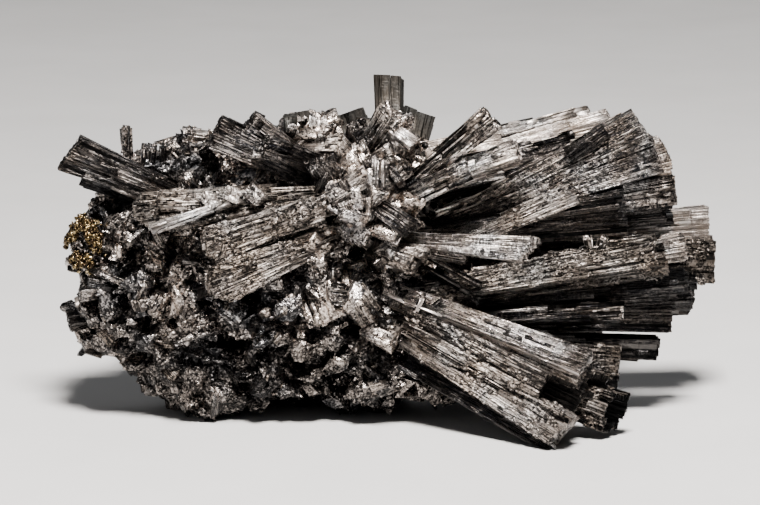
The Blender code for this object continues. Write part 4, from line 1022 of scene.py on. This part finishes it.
def shard_packet(centre, out, radial, large, rng):
    """A broken packet of a few laths side by side, half sunk in the skin."""
    low = centre[2] < LOW
    along = unit(out * rng.uniform(-0.3, 0.5) + radial * 0.6 + rng.normal(0, 0.7, 3))
    size = rng.uniform(1.1, 2.2) if large else rng.uniform(0.5, 1.0) * (0.7 if low else 1.0)
    length, width = size * rng.uniform(1.0, 2.2), size * rng.uniform(0.6, 1.3)
    count = max(2, int(width / 0.28))
    side = unit(np.cross(along, out + rng.normal(0, 0.3, 3)))
    face = np.cross(side, along)
    depth = rng.uniform(0.25, 0.5) * size
    step = (np.arange(count) - count / 2 + rng.uniform(-0.2, 0.2, count))[:, None] * (width / count)
    offset = rng.normal(0, 0.03, (count, 1)) * face
    cut = step * rng.normal(0, 0.4) + rng.normal(0, length * 0.03, (count, 1))
    starts = centre - out * 0.15 * size + side * step + offset + along * cut
    directions = unit(along + side * step * 0.03 + rng.normal(0, 0.006, (count, 3)))
    lengths = length * rng.uniform(0.85, 1.0, count)
    half = np.stack((np.full(count, width / count * 0.55), np.full(count, depth), lengths), axis=-1)
    tone = rng.uniform(0.0, 1.0) + rng.uniform(-0.1, 0.1, count)
    # painted light: more of the shards above LOW get the lit copy of the finish
    bright = rng.uniform() < (0.06 if low else 0.22)
    finish = LIT_CRYSTAL if bright else (ETCHED, CRYSTAL, DARK)[rng.integers(3)]
    up = np.broadcast_to(face, (count, 3)) + rng.normal(0, 0.05, (count, 3))
    return free_copies(RIB, starts, directions, up, half, rng, 0.15, finish, tone, rng.choice(EDGES, count))


rng = np.random.default_rng(21)
place, normal = skin_samples(SHARD_PACKETS, rng)
large = (np.arange(SHARD_PACKETS) < SHARD_PACKETS * LARGE_SHARE) & (place[:, 2] > LOW)
large &= from_pyrite(place) > 2 * PYRITE_CLEAR
columns = (column[kept_clear(place)] for column in (place, normal, unit(place - HUB), large))
adopt(make_object("matrix_shards", [shard_packet(*row, rng) for row in zip(*columns)]))

# %% Scatter the flakes
FLAKES = 2600
PLATES = 420  # the first of them are large and lie flatter
BLOCKS = 110  # thick chips where the sprays meet


def sunk_chips(place, up, half, along, sunk, oblique, finishes, rng):
    """Chips that take the finishes in turn, with that share of their depth in the skin."""
    place = place - up * half[:, 1:2] * sunk
    turns = [slice(first, None, len(finishes)) for first in range(len(finishes))]
    return [
        free_copies(CHIP, place[turn], along[turn], up[turn], half[turn], rng, oblique, finish)
        for turn, finish in zip(turns, finishes)
    ]


def flake_parts(rng):
    """Flat chips that lie in the skin, each with one broad facet outwards."""
    place, normal = skin_samples(FLAKES, rng)
    plate = np.arange(FLAKES) < PLATES
    off_end = ~plate | (from_pyrite(place) > 2 * PYRITE_CLEAR)
    clear = kept_clear(place) & off_end & (plate | (place[:, 2] > rng.uniform(2, 16, FLAKES)))
    place, normal, plate = place[clear], normal[clear], plate[clear, None]
    count = len(place)
    up = unit(normal + rng.normal(0, 1, (count, 3)) * np.where(plate, 0.3, 0.5))
    along = unit(np.cross(up, rng.normal(0, 1, (count, 3))))
    ranges = ((0.5, 1.1, 1), (0.2, 0.4, 1), (1.2, 2.8, 1))
    half = random_sizes(count, np.where(plate, -0.05, -0.85), 0.35, ranges, rng)
    finishes = (MATRIX, ETCHED, CRUST, CRUSTY, MATRIX, DARK, CRUST, MATRIX)
    return sunk_chips(place, up, half, along, 0.5, 0.5, finishes, rng)


def block_parts(rng):
    """Thick chips that crowd round the upper middle, where the sprays meet."""
    place, normal = skin_samples(BLOCKS * 10, rng)
    near = in_heap(place)
    place, normal = place[near][:BLOCKS], normal[near][:BLOCKS]
    count = len(place)
    up = unit(normal + rng.normal(0, 0.5, (count, 3)))
    along = unit(np.cross(up, rng.normal(0, 1, (count, 3))))
    half = random_sizes(count, 0.05, 0.3, ((0.6, 1.0, 2), (1.4, 2.6, 1)), rng)
    return sunk_chips(place, up, half, along, 0.8, 0.4, (CRUST, DIM, CRUSTY, ETCHED, CRUST, CRUSTY), rng)


parts = flake_parts(np.random.default_rng(23)) + block_parts(np.random.default_rng(24))
adopt(make_object("matrix_flakes", parts))

# %% Scatter the crumbs
CRUMBS = 6000
ROOT_CRUMBS = 10  # for each mm of a blade's width
HEAP_SHARE = 0.3  # of the crumbs are left where the sprays meet


def root_places(b, rng):
    """Places on the blade near its root, and the way out of the blade there."""
    place, normal = blade_places(b, int(ROOT_CRUMBS * b.wide[0]), 1.0, rng)
    return b.root + (place - b.root) * (rng.uniform(0, 1, (len(place), 1)) ** 1.8 * 0.3), normal


rng = np.random.default_rng(22)
found = [skin_samples(CRUMBS, rng)] + [root_places(b, rng) for blades in SPRAYS.values() for b in blades]
place, normal = map(np.concatenate, zip(*found))
clear = kept_clear(place) & (~in_heap(place) | (rng.uniform(0, 1, len(place)) < HEAP_SHARE))
place, normal = place[clear], normal[clear]
count = len(place)
along = unit(normal * 0.4 + unit(place - HUB) * 0.3 + rng.normal(0, 0.8, (count, 3)))
half = random_sizes(count, -2.3, 0.5, ((0.35, 0.9, 2), (0.9, 3.0, 1)), rng)
up = rng.normal(0, 1, (count, 3))
crumbs = free_copies(CHIP, place + normal * 0.03, along, up, half, rng, 0.4, MATRIX)
adopt(make_object("matrix_crumbs", [crumbs]))

# %% [markdown]
# ## Pyrite
# The brassy patch on the left end is a ring of small cubes and grains. One bar shape, nearly as wide as it is long,
# stands for a grain, and its copies crowd along the ring. Dark grains of the matrix fill the hole and carry them.

# %% Build the pyrite
GRAINS = 1200
CORE_GRAINS = 500  # dark ones that the others sit on
RING = (1.6, 2.5)  # half its width and height, in mm
CORE = (2.5, 3.3, 1.9)  # half its width, height and depth, in mm

rng = np.random.default_rng(31)
facing = unit(np.array((-0.35, -0.92, 0.1)))
side = unit(np.cross((0, 0, 1), facing))
up = np.cross(facing, side)
angle = rng.uniform(0, math.tau, (GRAINS, 1))
across = rng.normal(0, 0.5, (GRAINS, 1))
deep = rng.normal(0, 0.35, (GRAINS, 1))
ring = side * np.cos(angle) * (RING[0] + across) + up * np.sin(angle) * (RING[1] + across)
bright = PYRITE_CENTRE + (0, 0, 0.5) + ring + facing * (1.3 + deep - 0.9 * across**2)
bright = bright[patchy(bright, 1.5, 0.02)]
ball = unit(rng.normal(0, 1, (CORE_GRAINS, 3))) * rng.uniform(0, 1, (CORE_GRAINS, 1)) ** 0.4
core = PYRITE_CENTRE + ball[:, :1] * side * CORE[0] + ball[:, 1:2] * up * CORE[1]
core += (ball[:, 2:] * CORE[2] - 0.9) * facing
parts = []
for centre, finish, level, tones in ((bright, PYRITE, -1.8, 1.0), (core, MATRIX, -1.2, 0.3)):
    count = len(centre)
    size = np.minimum(np.exp(rng.normal(level, 0.45, (count, 1))), 0.15 - 0.07 * level)
    half = size * np.hstack((rng.uniform(0.6, 1.2, (count, 2)), np.full((count, 1), 2.0)))
    along, face = unit(rng.normal(0, 1, (count, 3))), rng.normal(0, 1, (count, 3))
    tone = rng.uniform(0, tones, count)
    parts.append(free_copies(BAR, centre, along, face, half, rng, 0.05, finish, tone))
adopt(make_object("pyrite_grains", parts), "pyrite_patch")

# %% [markdown]
# ## Floor, light and camera
# The specimen stands on a pale floor. A softbox high up in front glances off every face that looks up, a weak one
# fills in from the left, one behind lights the upper edges, and a dim sky keeps the recesses dark. The camera looks
# slightly down, through a long lens.

# %% Set the stage
LAMPS = (  # name, place and size in metres, power and colour
    ("key", (0.02, -0.21, 0.4), 0.10, 11.5, (1.0, 0.955, 0.915)),
    ("fill", (-0.45, -0.35, 0.3), 0.4, 0.25, (1.0, 1.0, 1.0)),
    ("back", (0.05, 0.5, 0.5), 0.4, 1.0, (1.0, 1.0, 1.0)),
)
AIM = Vector((-1.3, -0.2, 20.0)) * MM
DISTANCE, ELEVATION = 450 * MM, math.radians(12)
LENS, SENSOR = 175.6, 36.0

for name, place, size, power, colour in LAMPS:
    nothing_selected()
    bpy.ops.object.light_add(type="AREA", location=place)
    lamp = bpy.context.object
    lamp.name = name
    lamp.data.shape, lamp.data.size, lamp.data.energy, lamp.data.color = "SQUARE", size, power, colour
    lamp.rotation_euler = (Vector((0.0, 0.0, 0.02)) - Vector(place)).to_track_quat("-Z", "Y").to_euler()

nothing_selected()
bpy.ops.mesh.primitive_plane_add(size=4.0, location=(0, 0, 0))
floor = bpy.context.object
floor.name = "floor"
paper = Finish("pale_floor_finish")
grey = paper.ramp(paper.noise(paper.place, 40.0), (0.3, 0.42), (0.7, 0.45))
floor.data.materials.append(paper.wire(Base_Color=grey, Roughness=0.9))

world = bpy.data.worlds.new("sky")
world.use_nodes = True
world.node_tree.nodes["Background"].inputs["Color"].default_value = (0.85, 0.9, 1.0, 1.0)
world.node_tree.nodes["Background"].inputs["Strength"].default_value = 0.04
bpy.context.scene.world = world

nothing_selected()
bpy.ops.object.camera_add(
    location=AIM + DISTANCE * Vector((0, -math.cos(ELEVATION), math.sin(ELEVATION))),
    rotation=(math.pi / 2 - ELEVATION, 0, 0),
)
camera = bpy.context.object
camera.name = "camera"
camera.data.sensor_width, camera.data.lens, camera.data.clip_start = SENSOR, LENS, 0.01
bpy.context.scene.camera = camera
